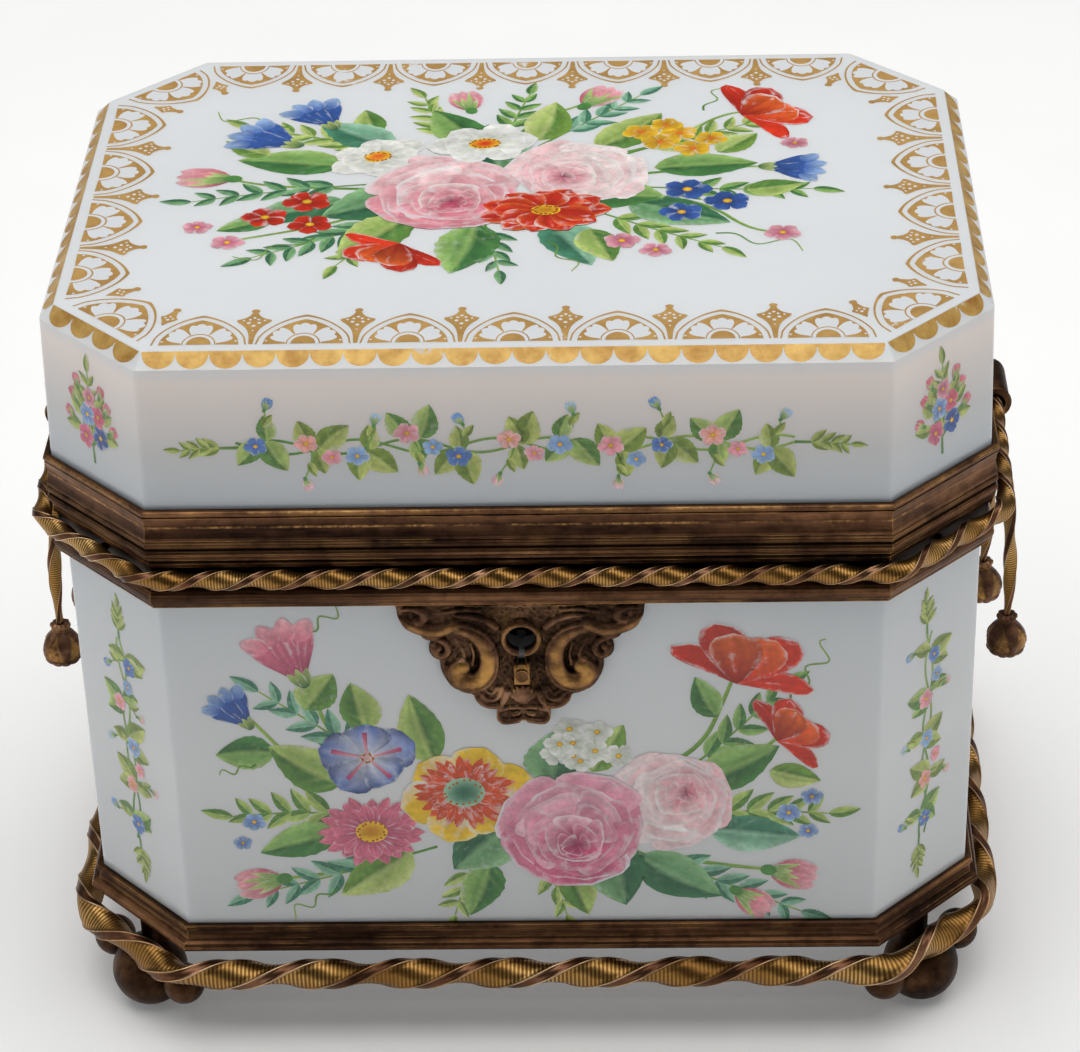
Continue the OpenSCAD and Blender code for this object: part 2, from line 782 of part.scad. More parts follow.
// block with a channel for the bolt, a well for the catch and a room for the key
module lock_case() {
  y0 = -case_front;
  color(brass)
    difference() {
      translate([case_x, y0, case_bottom])
        cube([case_w, case_d, case_h]);
      translate([bolt_tip - bolt_len - 0.4, bolt_y - bolt_t / 2 - bolt_gap, bolt_z - bolt_gap])
        cube([bolt_len + bolt_travel + 0.8, bolt_t + 2 * bolt_gap, bolt_h + 2 * bolt_gap]);
      translate([-catch_t / 2 - 0.7, catch_y - catch_d / 2 - 0.45, catch_bottom - 0.5])
        cube([catch_t + 1.4, catch_d + 0.9, 20]);
      translate([0, y0 + 1.1, key_z])
        rotate([-90, 0, 0])
          cylinder(h = case_d - 2, r = 4.6);
      translate([0, y0 - 1, key_z])
        rotate([-90, 0, 0])
          cylinder(h = 3, r = key_r + 0.2);
      translate([0, y0 + case_d - 1.5, key_z])
        rotate([-90, 0, 0])
          cylinder(h = 2, r = key_pin_r + cement);
      translate([bolt_tip - 7.2, bolt_y - bolt_t / 2 - bolt_gap, key_z + 3])
        cube([bolt_travel + 3.4, bolt_t + 2 * bolt_gap, bolt_z - key_z - 2]);
      for (x = lock_screw_xs)
        translate([x, y0 - 1, lock_screw_z]) {
          rotate([-90, 0, 0])
            cylinder(h = case_d + 2, r = lock_screw_r + cement);
          translate([0, 2.2, 0])
            rotate([-90, 0, 0])
              cylinder(h = case_d, r = lock_screw_r + 0.8);
        }
      translate([0, y0 - 1, plate_screw_z])
        rotate([-90, 0, 0])
          cylinder(h = 3.2, r = plate_screw_r + cement);
    }
}

module lock_screws() {
  color(gilt)
    for (x = lock_screw_xs)
      translate([x, -case_front - leg_t, lock_screw_z])
        rotate([-90, 0, 0]) {
          cylinder(h = leg_t + 1.2, r = lock_screw_r);
          translate([0, 0, leg_t + 1.2])
            cylinder(h = 0.8, r = lock_screw_r + 0.7);
        }
}

module lock_key_pin() {
  color(gilt)
    translate([0, -glass_front + 0.5, key_z])
      rotate([-90, 0, 0])
        cylinder(h = glass_front - case_front + case_d - 0.5, r = key_pin_r);
}

// drawn back at rest, so that the catch is free
module lock_bolt() {
  color(gilt)
    translate([bolt_tip - bolt_len, bolt_y - bolt_t / 2, bolt_z]) {
      cube([bolt_len, bolt_t, bolt_h]);
      translate([2.2, 0, key_z + 3.4 - bolt_z])
        difference() {
          cube([2.6, bolt_t, bolt_z - key_z - 3.4]);
          translate([1.3, -1, 0])
            rotate([-90, 0, 0])
              cylinder(h = 4, r = 0.7);
        }
    }
}

// staple that drops into the lock case when the lid closes
module lid_catch() {
  color(gilt)
    difference() {
      union() {
        translate([-catch_t / 2, catch_y - catch_d / 2, catch_bottom])
          cube([catch_t, catch_d, lid_seat - catch_bottom + 0.2]);
        translate([-catch_half + 0.8, catch_y - catch_d / 2, lid_seat])
          cube([2 * catch_half - 1.6, catch_d, catch_head_t]);
      }
      translate([-3, bolt_y - bolt_t / 2 - 0.2, bolt_z - 0.2])
        cube([6, bolt_t + 0.4, bolt_h + 0.4]);
      for (x = catch_rivet_xs)
        translate([x, catch_y, lid_seat - 1])
          cylinder(h = 4, r = catch_rivet_r + cement);
    }
}

module lid_catch_rivets() {
  color(brass)
    for (x = catch_rivet_xs)
      translate([x, catch_y, lid_z]) {
        cylinder(h = ledge_t + catch_head_t, r = catch_rivet_r);
        translate([0, 0, ledge_t + catch_head_t])
          cylinder(h = 0.5, r = catch_rivet_r + 0.4);
      }
}

// ---- hinge ----------------------------------------------------------------

hinge_y = half_d + hinge_out;
hinge_z = part_z + part_gap / 2;
knuckle_w = hinge_w / 5;
leaf_seat_o = 0.5;
base_leaf_bottom = rim_z + 0.3;
lid_leaf_top = lid_z + lid_band_h - 0.8;
rivet_xs = [-1.7 * knuckle_w, 0, 1.7 * knuckle_w];
base_rivet_z = rim_z + 3;
lid_rivet_z = lid_z + lid_band_h - 3.4;
heel_a = 60;
heel_tip = 3;

// flat at the back of a band where a hinge leaf lies
module hinge_pocket(o) {
  translate([-hinge_w / 2 - 0.2, half_d + o, foot_z + 30])
    cube([hinge_w + 0.4, 5, 80]);
}

// knuckles number 0 to 4 from the left
module knuckles(list, r, gap) {
  for (k = list)
    translate([-hinge_w / 2 + k * knuckle_w + gap / 2, hinge_y, hinge_z])
      rotate([0, 90, 0])
        cylinder(h = knuckle_w - gap, r = r);
}

module pin_bore() {
  translate([-hinge_w, hinge_y, hinge_z])
    rotate([0, 90, 0])
      cylinder(h = 2 * hinge_w, r = hinge_pin_r + pin_gap);
}

// a lug along the radius at angle a, between two radii and two distances to its side
module lug(x, w, a, r0, r1, n0, n1) {
  translate([x, hinge_y, hinge_z])
    rotate([a, 0, 0])
      translate([-w / 2, r0, -n1])
        cube([w, r1 - r0, n1 - n0]);
}

module hinge_base_leaf() {
  y0 = half_d + recess_o;
  arm_z = hinge_z - knuckle_r;
  pad_a = heel_a - open_max;
  color(brass)
    difference() {
      union() {
        translate([-hinge_w / 2, y0, base_leaf_bottom])
          cube([hinge_w, leaf_t, arm_z + 1.2 - base_leaf_bottom]);
        knuckles([0, 2, 4], knuckle_r, knuckle_gap);
        for (k = [0, 2, 4])
          translate([-hinge_w / 2 + k * knuckle_w + knuckle_gap / 2, y0, arm_z])
            cube([knuckle_w - knuckle_gap, hinge_y - y0, 1.2]);
        // pads that stop the lid's heels
        for (k = [1, 3]) {
          x = -hinge_w / 2 + (k + 0.5) * knuckle_w;
          translate([x - 1.5, y0, arm_z - 2.1])
            cube([3, hinge_y - y0 + 1.2, 1.5]);
          lug(x, 3, pad_a, knuckle_r + 0.25, heel_tip, 0.55, 1.9);
        }
      }
      pin_bore();
      knuckle_clearance([1, 3]);
      for (x = rivet_xs)
        translate([x, y0 - 1, base_rivet_z])
          rotate([-90, 0, 0])
            cylinder(h = 4, r = rivet_r + cement);
    }
}

// room for the other leaf's knuckles to turn
module knuckle_clearance(list) {
  knuckles(list, knuckle_r + 0.15, -knuckle_gap);
}

module hinge_lid_leaf() {
  y0 = half_d + leaf_seat_o;
  arm_top = hinge_z + knuckle_r;
  color(brass)
    difference() {
      union() {
        translate([-hinge_w / 2, y0, arm_top - 1.2])
          cube([hinge_w, leaf_t, lid_leaf_top - arm_top + 1.2]);
        knuckles([1, 3], knuckle_r, knuckle_gap);
        for (k = [1, 3]) {
          translate([-hinge_w / 2 + k * knuckle_w + knuckle_gap / 2, y0, arm_top - 1.2])
            cube([knuckle_w - knuckle_gap, hinge_y - y0, 1.2]);
          lug(-hinge_w / 2 + (k + 0.5) * knuckle_w, 3, heel_a, knuckle_r - 0.4, heel_tip, -0.5, 0.5);
        }
      }
      pin_bore();
      knuckle_clearance([0, 2, 4]);
      for (x = rivet_xs)
        translate([x, y0 - 1, lid_rivet_z])
          rotate([-90, 0, 0])
            cylinder(h = 4, r = rivet_r + cement);
    }
}

module hinge_pin() {
  over = 0.4;
  color(gilt)
    translate([-hinge_w / 2 - over, hinge_y, hinge_z])
      rotate([0, 90, 0]) {
        cylinder(h = hinge_w + 2 * over, r = hinge_pin_r);
        for (x = [-0.6, hinge_w + 2 * over])
          translate([0, 0, x])
            cylinder(h = 0.6, r = hinge_pin_r + 0.5);
      }
}

// rivets from the inside of a band's wall to the outside of a leaf
module leaf_rivets(wall_o, seat_o, z) {
  color(gilt)
    for (x = rivet_xs)
      translate([x, half_d + wall_o, z])
        rotate([-90, 0, 0]) {
          cylinder(h = seat_o - wall_o + leaf_t, r = rivet_r);
          translate([0, 0, seat_o - wall_o + leaf_t])
            cylinder(h = 0.4, r = rivet_r + 0.5);
        }
}

module hinge_base_rivets() {
  leaf_rivets(band_in_o, recess_o, base_rivet_z);
}

module hinge_lid_rivets() {
  leaf_rivets(cement, leaf_seat_o, lid_rivet_z);
}

base_glass();
rim_band();
foot_band();
skirt_rope();
waist_rope();
rope_studs();
rope_cap_left();
rope_cap_right();
tassel_cord_left_front();
tassel_cord_left_back();
tassel_cord_right_front();
tassel_cord_right_back();
tassel_left_front();
tassel_left_back();
tassel_right_front();
tassel_right_back();
foot_front_left();
foot_front_right();
foot_back_left();
foot_back_right();
foot_screws();
lock_plate();
lock_plate_screw();
lock_case();
lock_screws();
lock_key_pin();
lock_bolt();
hinge_base_leaf();
hinge_base_rivets();
hinge_pin();
lid_glass();
lid_band();
lid_catch();
lid_catch_rivets();
hinge_lid_leaf();
hinge_lid_rivets();
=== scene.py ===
"""The looks of a hinged opal glass casket: enamel flowers, gilding and old cast brass."""

import math
import random

import bmesh
import bpy
from mathutils import Matrix, Vector, noise


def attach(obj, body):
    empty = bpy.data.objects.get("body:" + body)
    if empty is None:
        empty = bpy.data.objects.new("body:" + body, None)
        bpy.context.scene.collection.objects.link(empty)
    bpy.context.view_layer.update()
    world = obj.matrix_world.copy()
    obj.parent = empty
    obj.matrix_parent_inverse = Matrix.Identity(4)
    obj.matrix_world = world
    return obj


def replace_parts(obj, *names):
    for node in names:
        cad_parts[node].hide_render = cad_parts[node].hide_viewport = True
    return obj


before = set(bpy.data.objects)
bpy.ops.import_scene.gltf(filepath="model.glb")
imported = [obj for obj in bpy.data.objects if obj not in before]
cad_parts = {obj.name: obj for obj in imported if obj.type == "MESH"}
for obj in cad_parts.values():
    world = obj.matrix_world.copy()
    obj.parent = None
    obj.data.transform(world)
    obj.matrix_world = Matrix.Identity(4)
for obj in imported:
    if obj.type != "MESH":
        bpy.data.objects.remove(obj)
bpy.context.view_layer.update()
MM = 0.001

# ---- sizes in millimetres, the same as the solids have ----------------------

HALF_W, HALF_D, CORNER_CUT = 70.0, 51.0, 16.0
BOX_H = 122.2
LID_DRAFT, LID_WALL_H, LID_MIDDLE_INSET = 0.7, 30.5, 0.42
BEVEL_W, BEVEL_H = 2.2, 2.0
BASE_INSET = 1.1
# both ropes: radius, height, length of one twist, distance out from the lid's outline, room between rings
SKIRT_R, SKIRT_Z, SKIRT_PITCH, SKIRT_OUT, SKIRT_SWELL, SKIRT_RING = 2.45, 12.6, 29, 2.2, 0.8, 0.21
WAIST_R, WAIST_Z, WAIST_PITCH, WAIST_OUT, WAIST_RING = 1.55, 86.0, 16, 1.35, 0.15
WAIST_SIDE_OUT, WAIST_CANT_OUT, WAIST_END_Y = 2.5, 1.75, -0.05
ROPE_BEND = 6
CAP_OUT, CAP_BOTTOM = 3.4, 82.7
CORD_R, CORD_PITCH, CORD_BELLY, CORD_RINGS = 1.35, 26.0, 1.2, 260
HEAD_TOP = 49.3
# on each side of the box: which tassel, how far out it hangs, and where its cord starts and ends along y
TASSELS = (("front", 6.7, -1.2, -8.0), ("back", 4.2, 3.6, 8.0))
KEY_Z, KEY_R, SLOT_HALF, SLOT_DEEP = 74.1, 2.1, 0.7, 4.0


# ---- camera, light and floor ------------------------------------------------

IMAGE_WIDTH = 1080
FOCAL_PIXELS = 3556.2
CAMERA_AT = Vector((18.67, -486.24, 369.40)) * MM
CAMERA_YAW, CAMERA_PITCH, CAMERA_ROLL = (math.radians(a) for a in (-2.023, 32.311, -1.681))


def place_camera():
    data = bpy.data.cameras.new("camera")
    data.sensor_width = 36
    data.lens = FOCAL_PIXELS / IMAGE_WIDTH * data.sensor_width
    data.clip_start, data.clip_end = 0.05, 20
    camera = bpy.data.objects.new("camera", data)
    bpy.context.scene.collection.objects.link(camera)
    level = math.cos(CAMERA_PITCH)
    ahead = Vector((math.sin(CAMERA_YAW) * level, math.cos(CAMERA_YAW) * level, -math.sin(CAMERA_PITCH)))
    right = Vector((math.cos(CAMERA_YAW), -math.sin(CAMERA_YAW), 0))
    up = right.cross(ahead)
    c, s = math.cos(CAMERA_ROLL), math.sin(CAMERA_ROLL)
    axes = Matrix((right * c + up * s, up * c - right * s, -ahead)).transposed()
    camera.matrix_world = Matrix.Translation(CAMERA_AT) @ axes.to_4x4()
    bpy.context.scene.camera = camera


def soft_light(name, at, size, power, tint):
    """A square lamp that faces the casket."""
    data = bpy.data.lights.new(name, "AREA")
    data.shape = "RECTANGLE"
    data.size = data.size_y = size
    data.energy = power
    data.color = tint
    lamp = bpy.data.objects.new(name, data)
    bpy.context.scene.collection.objects.link(lamp)
    lamp.location = at
    lamp.rotation_euler = (Vector((0, 0, 0.06)) - Vector(at)).to_track_quat("-Z", "Y").to_euler()


def light_the_studio():
    soft_light("overhead", (0.0, 0.12, 1.15), 1.5, 15.5, (1.0, 0.995, 0.985))
    soft_light("left", (-1.15, -0.25, 0.5), 0.8, 1.75, (0.98, 0.99, 1.0))
    soft_light("right", (1.15, -0.2, 0.5), 0.8, 1.5, (1.0, 0.99, 0.97))
    world = bpy.data.worlds.new("studio")
    bpy.context.scene.world = world
    world.use_nodes = True
    sky = world.node_tree.nodes["Background"]
    sky.inputs["Color"].default_value = (0.95, 0.97, 1.0, 1)
    sky.inputs["Strength"].default_value = 0.08
    bpy.context.scene.view_settings.view_transform = "Standard"


# ---- materials --------------------------------------------------------------

def linear(code):
    """Linear colour of a hex code."""
    parts = [int(code[i:i + 2], 16) / 255 for i in (0, 2, 4)]
    return tuple(p / 12.92 if p <= 0.04045 else ((p + 0.055) / 1.055) ** 2.4 for p in parts) + (1.0,)


def held(share):
    """The share, held between 0 and 1."""
    return min(1.0, max(0.0, share))


class Finish:
    """A material whose nodes are made and joined by short calls. A colour is given as its hex code."""

    def __init__(self, name, **shader):
        self.material = bpy.data.materials.new(name)
        self.material.use_nodes = True
        self.tree = self.material.node_tree
        self.shader = self.tree.nodes["Principled BSDF"]
        for socket, value in shader.items():
            self.shader.inputs[socket.replace("_", " ")].default_value = value
        self.place = self.node("TexCoord").outputs["Object"]

    def node(self, kind, inputs=(), **settings):
        made = self.tree.nodes.new("ShaderNode" + kind)
        for setting, value in settings.items():
            setattr(made, setting, value)
        for socket, value in dict(inputs).items():
            if isinstance(value, bpy.types.NodeSocket):
                self.tree.links.new(value, made.inputs[socket])
            else:
                made.inputs[socket].default_value = linear(value) if isinstance(value, str) else value
        return made

    def join(self, out, socket):
        self.tree.links.new(out, self.shader.inputs[socket])

    def noise(self, scale, detail=4.0, rough=0.55, at=None):
        made = self.node("TexNoise", {"Vector": at or self.place, "Scale": scale, "Detail": detail,
                                      "Roughness": rough})
        return made.outputs["Fac"]

    def stretched(self, scale):
        return self.node("Mapping", {"Vector": self.place, "Scale": scale}).outputs["Vector"]

    def ramp(self, fac, stops):
        made = self.node("ValToRGB", {"Fac": fac})
        band = made.color_ramp.elements
        for i, (pos, colour) in enumerate(stops):
            spot = band[i] if i < 2 else band.new(pos)
            spot.position = pos
            spot.color = linear(colour) if isinstance(colour, str) else (colour, colour, colour, 1)
        return made.outputs["Color"]

    def math(self, how, a, b=0.0, clamp=False):
        made = self.node("Math", {0: a, 1: b}, operation=how, use_clamp=clamp)
        return made.outputs["Value"]

    def mix(self, fac, a, b, how="MIX"):
        made = self.node("Mix", {0: fac, 6: a, 7: b}, data_type="RGBA", blend_type=how)
        return made.outputs[2]

    def climb(self, low, high):
        """How far a spot is up from low to high, in millimetres: 0 below them and 1 above."""
        height = self.node("SeparateXYZ", {"Vector": self.place}).outputs["Z"]
        made = self.node("MapRange", {"Value": height, "From Min": low * MM, "From Max": high * MM})
        return made.outputs["Result"]

    def hollows(self, distance):
        """Ambient occlusion: 1 in the open and near 0 in hollows up to the distance deep."""
        return self.node("AmbientOcclusion", {"Distance": distance * MM}, samples=6).outputs["AO"]

    def bump(self, height, strength, distance):
        made = self.node("Bump", {"Height": height, "Strength": strength, "Distance": distance * MM})
        self.join(made.outputs["Normal"], "Normal")


def opal_glass(name, tones):
    """Milky glass whose tone changes with its height, in millimetres: painted light and shade for how the
    light falls on it and glows through it.
    """
    f = Finish(name, IOR=1.5, Specular_IOR_Level=0.55, Subsurface_Weight=0.3, Subsurface_Scale=0.004,
               Subsurface_Radius=(0.7, 0.85, 1.0))
    low, high = tones[0][0], tones[-1][0]
    clouds = f.ramp(f.noise(22, 3), [(0.3, 0.95), (0.75, 1.0)])
    # painted light and shade: the glass's tone set by its height
    tone = f.ramp(f.climb(low, high), [((z - low) / (high - low), code) for z, code in tones])
    f.join(f.mix(1.0, tone, clouds, "MULTIPLY"), "Base Color")
    f.join(f.ramp(f.noise(160, 5, 0.6), [(0.3, 0.07), (0.8, 0.14)]), "Roughness")
    f.bump(f.noise(35, 2), 0.05, 0.5)
    return f.material


def old_brass(name, dark, mid, bright, gold, shine, grain, wear, streak=(1, 1, 1), carved=False, ridges=()):
    """Cast brass gone brown, with painted shade near black in its recesses, and gold where hands rub its
    edges and ridges.

    A ridge is a moulding's raised line, bumped and flecked with gold that is partly wear and partly a painted
    highlight: its height and half its width in millimetres. On a carved mesh the attribute 'relief' says how
    high each spot stands, and its low spots get more of the painted shade.
    """
    f = Finish(name, Metallic=1.0)
    at = f.stretched(streak)
    cloud = f.noise(75 * grain, 7, 0.62, at)
    tone = f.ramp(cloud, [(0.34, dark), (0.52, mid), (0.72, bright)])
    spots = f.ramp(f.noise(420 * grain, 4, 0.6), [(0.36, 0.5), (0.56, 1.0)])
    tone = f.mix(0.8, tone, spots, "MULTIPLY")
    # painted shade: ambient occlusion finds the hollows, which are darkened to near black below
    open_air = f.ramp(f.hollows(2.2), [(0.35, 0.0), (0.85, 1.0)])
    if carved:
        high = f.node("Attribute", attribute_name="relief").outputs["Fac"]
        # painted shade: low spots of the carving are darkened more
        open_air = f.math("MULTIPLY", open_air, f.ramp(high, [(0.05, 0.35), (0.45, 1.0)]))
        worn = f.math("MULTIPLY", f.ramp(high, [(0.6, 0.0), (0.9, 0.55), (1.0, 0.9)]),
                      f.ramp(cloud, [(0.42, 0.15), (0.62, 1.0)]))
        tone = f.mix(worn, tone, gold)
    # painted shade: near black in the hollows
    tone = f.mix(open_air, "17140c", tone)
    turned_face = f.node("Bevel", {"Radius": 0.3 * MM}, samples=4).outputs["Normal"]
    face = f.node("NewGeometry").outputs["Normal"]
    along = f.node("VectorMath", {0: turned_face, 1: face}, operation="DOT_PRODUCT").outputs["Value"]
    edge = f.ramp(f.math("SUBTRACT", 1.0, along), [(0.004, 0.0), (0.09, 1.0)])
    rubbed = f.ramp(f.noise(150 * grain, 5, 0.6), [(0.62 - wear * 0.3, 0.0), (0.72 - wear * 0.2, 1.0)])
    gilt = f.math("MULTIPLY", f.math("MULTIPLY", edge, rubbed), open_air)
    bare = f.ramp(f.noise(34 * grain, 6, 0.7, at), [(0.60, 0.0), (0.80, 0.55 * wear)])
    tone = f.mix(f.math("MULTIPLY", bare, open_air), tone, gold)
    tone = f.mix(gilt, tone, gold)
    relief = f.noise(260 * grain, 5, 0.65)
    # along each ridge a bump, and gold flecks that are partly wear and partly a painted highlight
    for z, half in ridges:
        ridge = f.ramp(f.climb(z - half, z + half), [(0.0, 0.0), (0.5, 1.0), (1.0, 0.0)])
        relief = f.math("ADD", relief, f.math("MULTIPLY", ridge, 3.5))
        flecks = f.math("MULTIPLY", rubbed, f.ramp(f.noise(1300, 3, 0.6), [(0.42, 0.25), (0.56, 1.0)]))
        tone = f.mix(f.math("MULTIPLY", f.ramp(ridge, [(0.3, 0.0), (0.8, 0.8)]), flecks), tone, gold)
    f.join(tone, "Base Color")
    f.join(f.ramp(cloud, [(0.3, shine + 0.2), (0.75, shine)]), "Roughness")
    f.bump(relief, 0.3, 0.1)
    return f.material


def rope_brass(name, brown, ribs, lips):
    """A smooth brown face beside a ribbed gold one. The attribute 'strand' holds ribbed, crest and lip."""
    f = Finish(name, Metallic=1.0)
    strand = f.node("Attribute", attribute_name="strand").outputs["Color"]
    parts = f.node("SeparateColor", {"Color": strand}).outputs
    cloud = f.noise(110, 6, 0.6)
    patch = f.noise(60, 5, 0.6)
    smooth = f.ramp(cloud, [(0.32, brown[0]), (0.52, brown[1]), (0.75, brown[2])])
    crest = f.ramp(patch, [(0.36, ribs[1]), (0.52, ribs[2]), (0.68, ribs[3])])
    cut = f.mix(f.ramp(parts["Green"], [(0.25, 0.0), (0.8, 1.0)]), ribs[0], crest)
    tone = f.mix(parts["Red"], smooth, cut)
    edge = f.math("MULTIPLY", f.ramp(parts["Blue"], [(0.35, 0.0), (0.85, 1.0)]),
                  f.ramp(cloud, [(0.34, 0.25), (0.55, 1.0)]))
    tone = f.mix(edge, tone, f.ramp(patch, [(0.35, lips[0]), (0.65, lips[1])]))
    # painted shade: near black in the hollows between and round the strands
    tone = f.mix(f.ramp(f.hollows(1.6), [(0.15, 0.0), (0.6, 1.0)]), "17110a", tone)
    f.join(tone, "Base Color")
    f.join(f.ramp(cloud, [(0.3, 0.5), (0.75, 0.3)]), "Roughness")
    f.bump(f.noise(330, 4, 0.6), 0.25, 0.08)
    return f.material


def enamel(name):
    """Fired paint: the attribute 'tint' holds its colour, and in its alpha how thickly it is laid on."""
    f = Finish(name, Roughness=0.3, IOR=1.5, Specular_IOR_Level=0.5)
    laid = f.node("Attribute", attribute_name="tint").outputs
    dabs = f.ramp(f.noise(620, 5, 0.62), [(0.34, 0.0), (0.66, 1.0)])
    washes = f.ramp(f.noise(230, 4, 0.6), [(0.32, 0.80), (0.68, 1.12)])
    strokes = f.ramp(f.noise(1100, 3, 0.6), [(0.3, 0.84), (0.7, 1.1)])
    tone = f.mix(1.0, f.mix(1.0, laid["Color"], strokes, "MULTIPLY"), washes, "MULTIPLY")
    thick = f.math("MULTIPLY", laid["Alpha"], 1.6)
    cover = f.math("SUBTRACT", thick, f.math("MULTIPLY", dabs, 0.6), clamp=True)
    f.join(f.mix(cover, "dfe2e4", tone), "Base Color")
    f.bump(dabs, 0.12, 0.03)
    return f.material


def gilding(name, thin, full, metal, rough, worn, glass):
    """Fired gold where the attribute 'tint' is white, rubbed off to the glass where a noise passes worn."""
    f = Finish(name)
    body = f.ramp(f.noise(240, 6, 0.65), [(0.3, thin), (0.62, full)])
    laid = f.node("Attribute", attribute_name="tint").outputs["Fac"]
    rub = f.ramp(f.noise(120, 7, 0.72), [(worn, 1.0), (worn + 0.05, 0.0)])
    gold = f.math("MULTIPLY", f.ramp(laid, [(0.45, 0.0), (0.55, 1.0)]), rub)
    f.join(f.mix(gold, glass, body), "Base Color")
    f.join(f.math("MULTIPLY", gold, metal), "Metallic")
    f.join(f.ramp(f.noise(300, 4), [(0.3, rough - 0.08), (0.7, rough + 0.12)]), "Roughness")
    f.bump(f.noise(500, 4), 0.15, 0.05)
    return f.material


def filed_steel(name):
    f = Finish(name, Metallic=1.0)
    f.join(f.ramp(f.noise(300, 6, 0.7), [(0.3, "3a3733"), (0.7, "8b8881")]), "Base Color")
    f.join(f.ramp(f.noise(500, 4), [(0.3, 0.3), (0.7, 0.5)]), "Roughness")
    f.bump(f.noise(900, 3, at=f.stretched((1, 12, 1))), 0.3, 0.03)
    return f.material


def blackened_iron(name):
    f = Finish(name, Specular_IOR_Level=0.12)
    f.join(f.ramp(f.noise(260, 6, 0.7), [(0.3, "070605"), (0.7, "14110e")]), "Base Color")
    f.join(f.ramp(f.noise(400, 4), [(0.3, 0.6), (0.7, 0.8)]), "Roughness")
    return f.material


def pale_floor(name):
    f = Finish(name, Roughness=0.85, Emission_Color=(1, 1, 1, 1), Emission_Strength=0.12)
    f.join(f.ramp(f.noise(14, 3), [(0.3, "f8f8f8"), (0.7, "fcfcfb")]), "Base Color")
    return f.material


# painted light: the lid's glass is cool and darker low on its walls, warm and bright near the lit top where
# light glows through, and cool white on the top
LID_GLASS = opal_glass("opal_lid_painted_glow", ((96, "c6cfd7"), (106, "d6d6d6"), (118, "fbefe8"), (121, "eaeef1")))
# painted shade: the base's glass is lightest halfway up its walls and darker towards the bottom and the top
BASE_GLASS = opal_glass("opal_base_painted_shade", ((20, "d0d3d5"), (50, "dfe1e2"), (84, "d6dbdf")))
GOLD = "c2935a"
BANDS = old_brass("brown_brass_bands", "30201a", "5e402d", "8c6345", GOLD, 0.36, 1, 0.6, (0.35, 0.35, 3.0),
                  ridges=((94.6, 0.38), (97.25, 0.3)))
CASTINGS = old_brass("brown_brass_castings", "241911", "523826", "7d5a3c", GOLD, 0.38, 1.4, 0.6)
PLATE = old_brass("gilt_brass_plate", "3d2a20", "765441", "a37c60", "c7964f", 0.36, 1.8, 0.7, carved=True)
ROPES = rope_brass("rope_brass", ("38251b", "694632", "977058"), ("76512a", "8f6a36", "b38b4c", "dab674"),
                   ("c08e58", "f6d6a6"))
LOCK_IRON = blackened_iron("blackened_iron")
ENAMEL = enamel("fired_enamel")
BRIGHT_GOLD = gilding("bright_gilding", "b58038", "e6bd6c", 0.42, 0.34, 0.62, "d8d8d8")
MATT_GOLD = gilding("matt_gilding", "a8803f", "c49b57", 0.25, 0.55, 0.64, "d9dcdf")
STEEL = filed_steel("filed_steel")


# ---- pieces -----------------------------------------------------------------

def add_piece(name, shape, body, material):
    """Turns a finished bmesh into a piece of the casket, in metres, with its place in its mesh."""
    for face in shape.faces:
        face.smooth = True
    mesh = bpy.data.meshes.new(name)
    shape.to_mesh(mesh)
    shape.free()
    mesh.materials.append(material)
    piece = bpy.data.objects.new(name, mesh)
    bpy.context.scene.collection.objects.link(piece)
    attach(piece, body)
    return piece


def woven_grid(shape, rows, columns, lay):
    """Adds a grid of faces and moves its corners to where lay(row, column) puts them."""
    made = bmesh.ops.create_grid(shape, x_segments=rows, y_segments=columns, size=0.5)["verts"]
    for corner in made:
        row, column = round((corner.co.x + 0.5) * rows), round((corner.co.y + 0.5) * columns)
        lay(corner, row, column)


def weld(shape, gap):
    """Joins the corners that lie within gap millimetres of each other."""
    bmesh.ops.remove_doubles(shape, verts=shape.verts, dist=gap * MM)


# ---- ropes and tassels ------------------------------------------------------

def bend_route(corners, bend, step):
    """Points every step or so along straight runs that turn left round the corners with radius bend."""
    points = []
    last = len(corners) - 1
    heads = [(corners[i + 1] - corners[i]).normalized() for i in range(last)]
    turns = [0] + [heads[i].angle(heads[i - 1]) for i in range(1, last)] + [0]
    for i, head in enumerate(heads):
        start = corners[i] + head * bend * math.tan(turns[i] / 2)
        stop = corners[i + 1] - head * bend * math.tan(turns[i + 1] / 2)
        runs = max(1, round((stop - start).length / step))
        points += [start.lerp(stop, k / runs) for k in range(runs)]
        if i == last - 1:
            points.append(stop)
            break
        centre = stop + bend * Vector((-head.y, head.x))
        arcs = max(1, round(bend * turns[i + 1] / step))
        spoke = stop - centre
        points += [centre + Matrix.Rotation(turns[i + 1] * k / arcs, 2) @ spoke for k in range(arcs)]
    return points


def run_out(points):
    """Distance along the points at each of them."""
    out = [0.0]
    for a, b in zip(points, points[1:]):
        out.append(out[-1] + (b - a).length)
    return out


# angles round a quarter of the bar's section: its smooth edge, the lip at LIP_ANGLE, and the sunk panel
LIP_ANGLE, LIP_WIDTH = 0.36, 0.07
QUARTER = [0.0, 0.12, 0.22, 0.30, LIP_ANGLE, 0.42, 0.52, 0.72, 0.98, 1.27]
HALF_ROUND = QUARTER + [math.pi / 2] + [math.pi - q for q in reversed(QUARTER)][:-1]
ROUND_THE_BAR = HALF_ROUND + [math.pi + q for q in HALF_ROUND] + [math.tau]
RINGS_A_RIB = 3


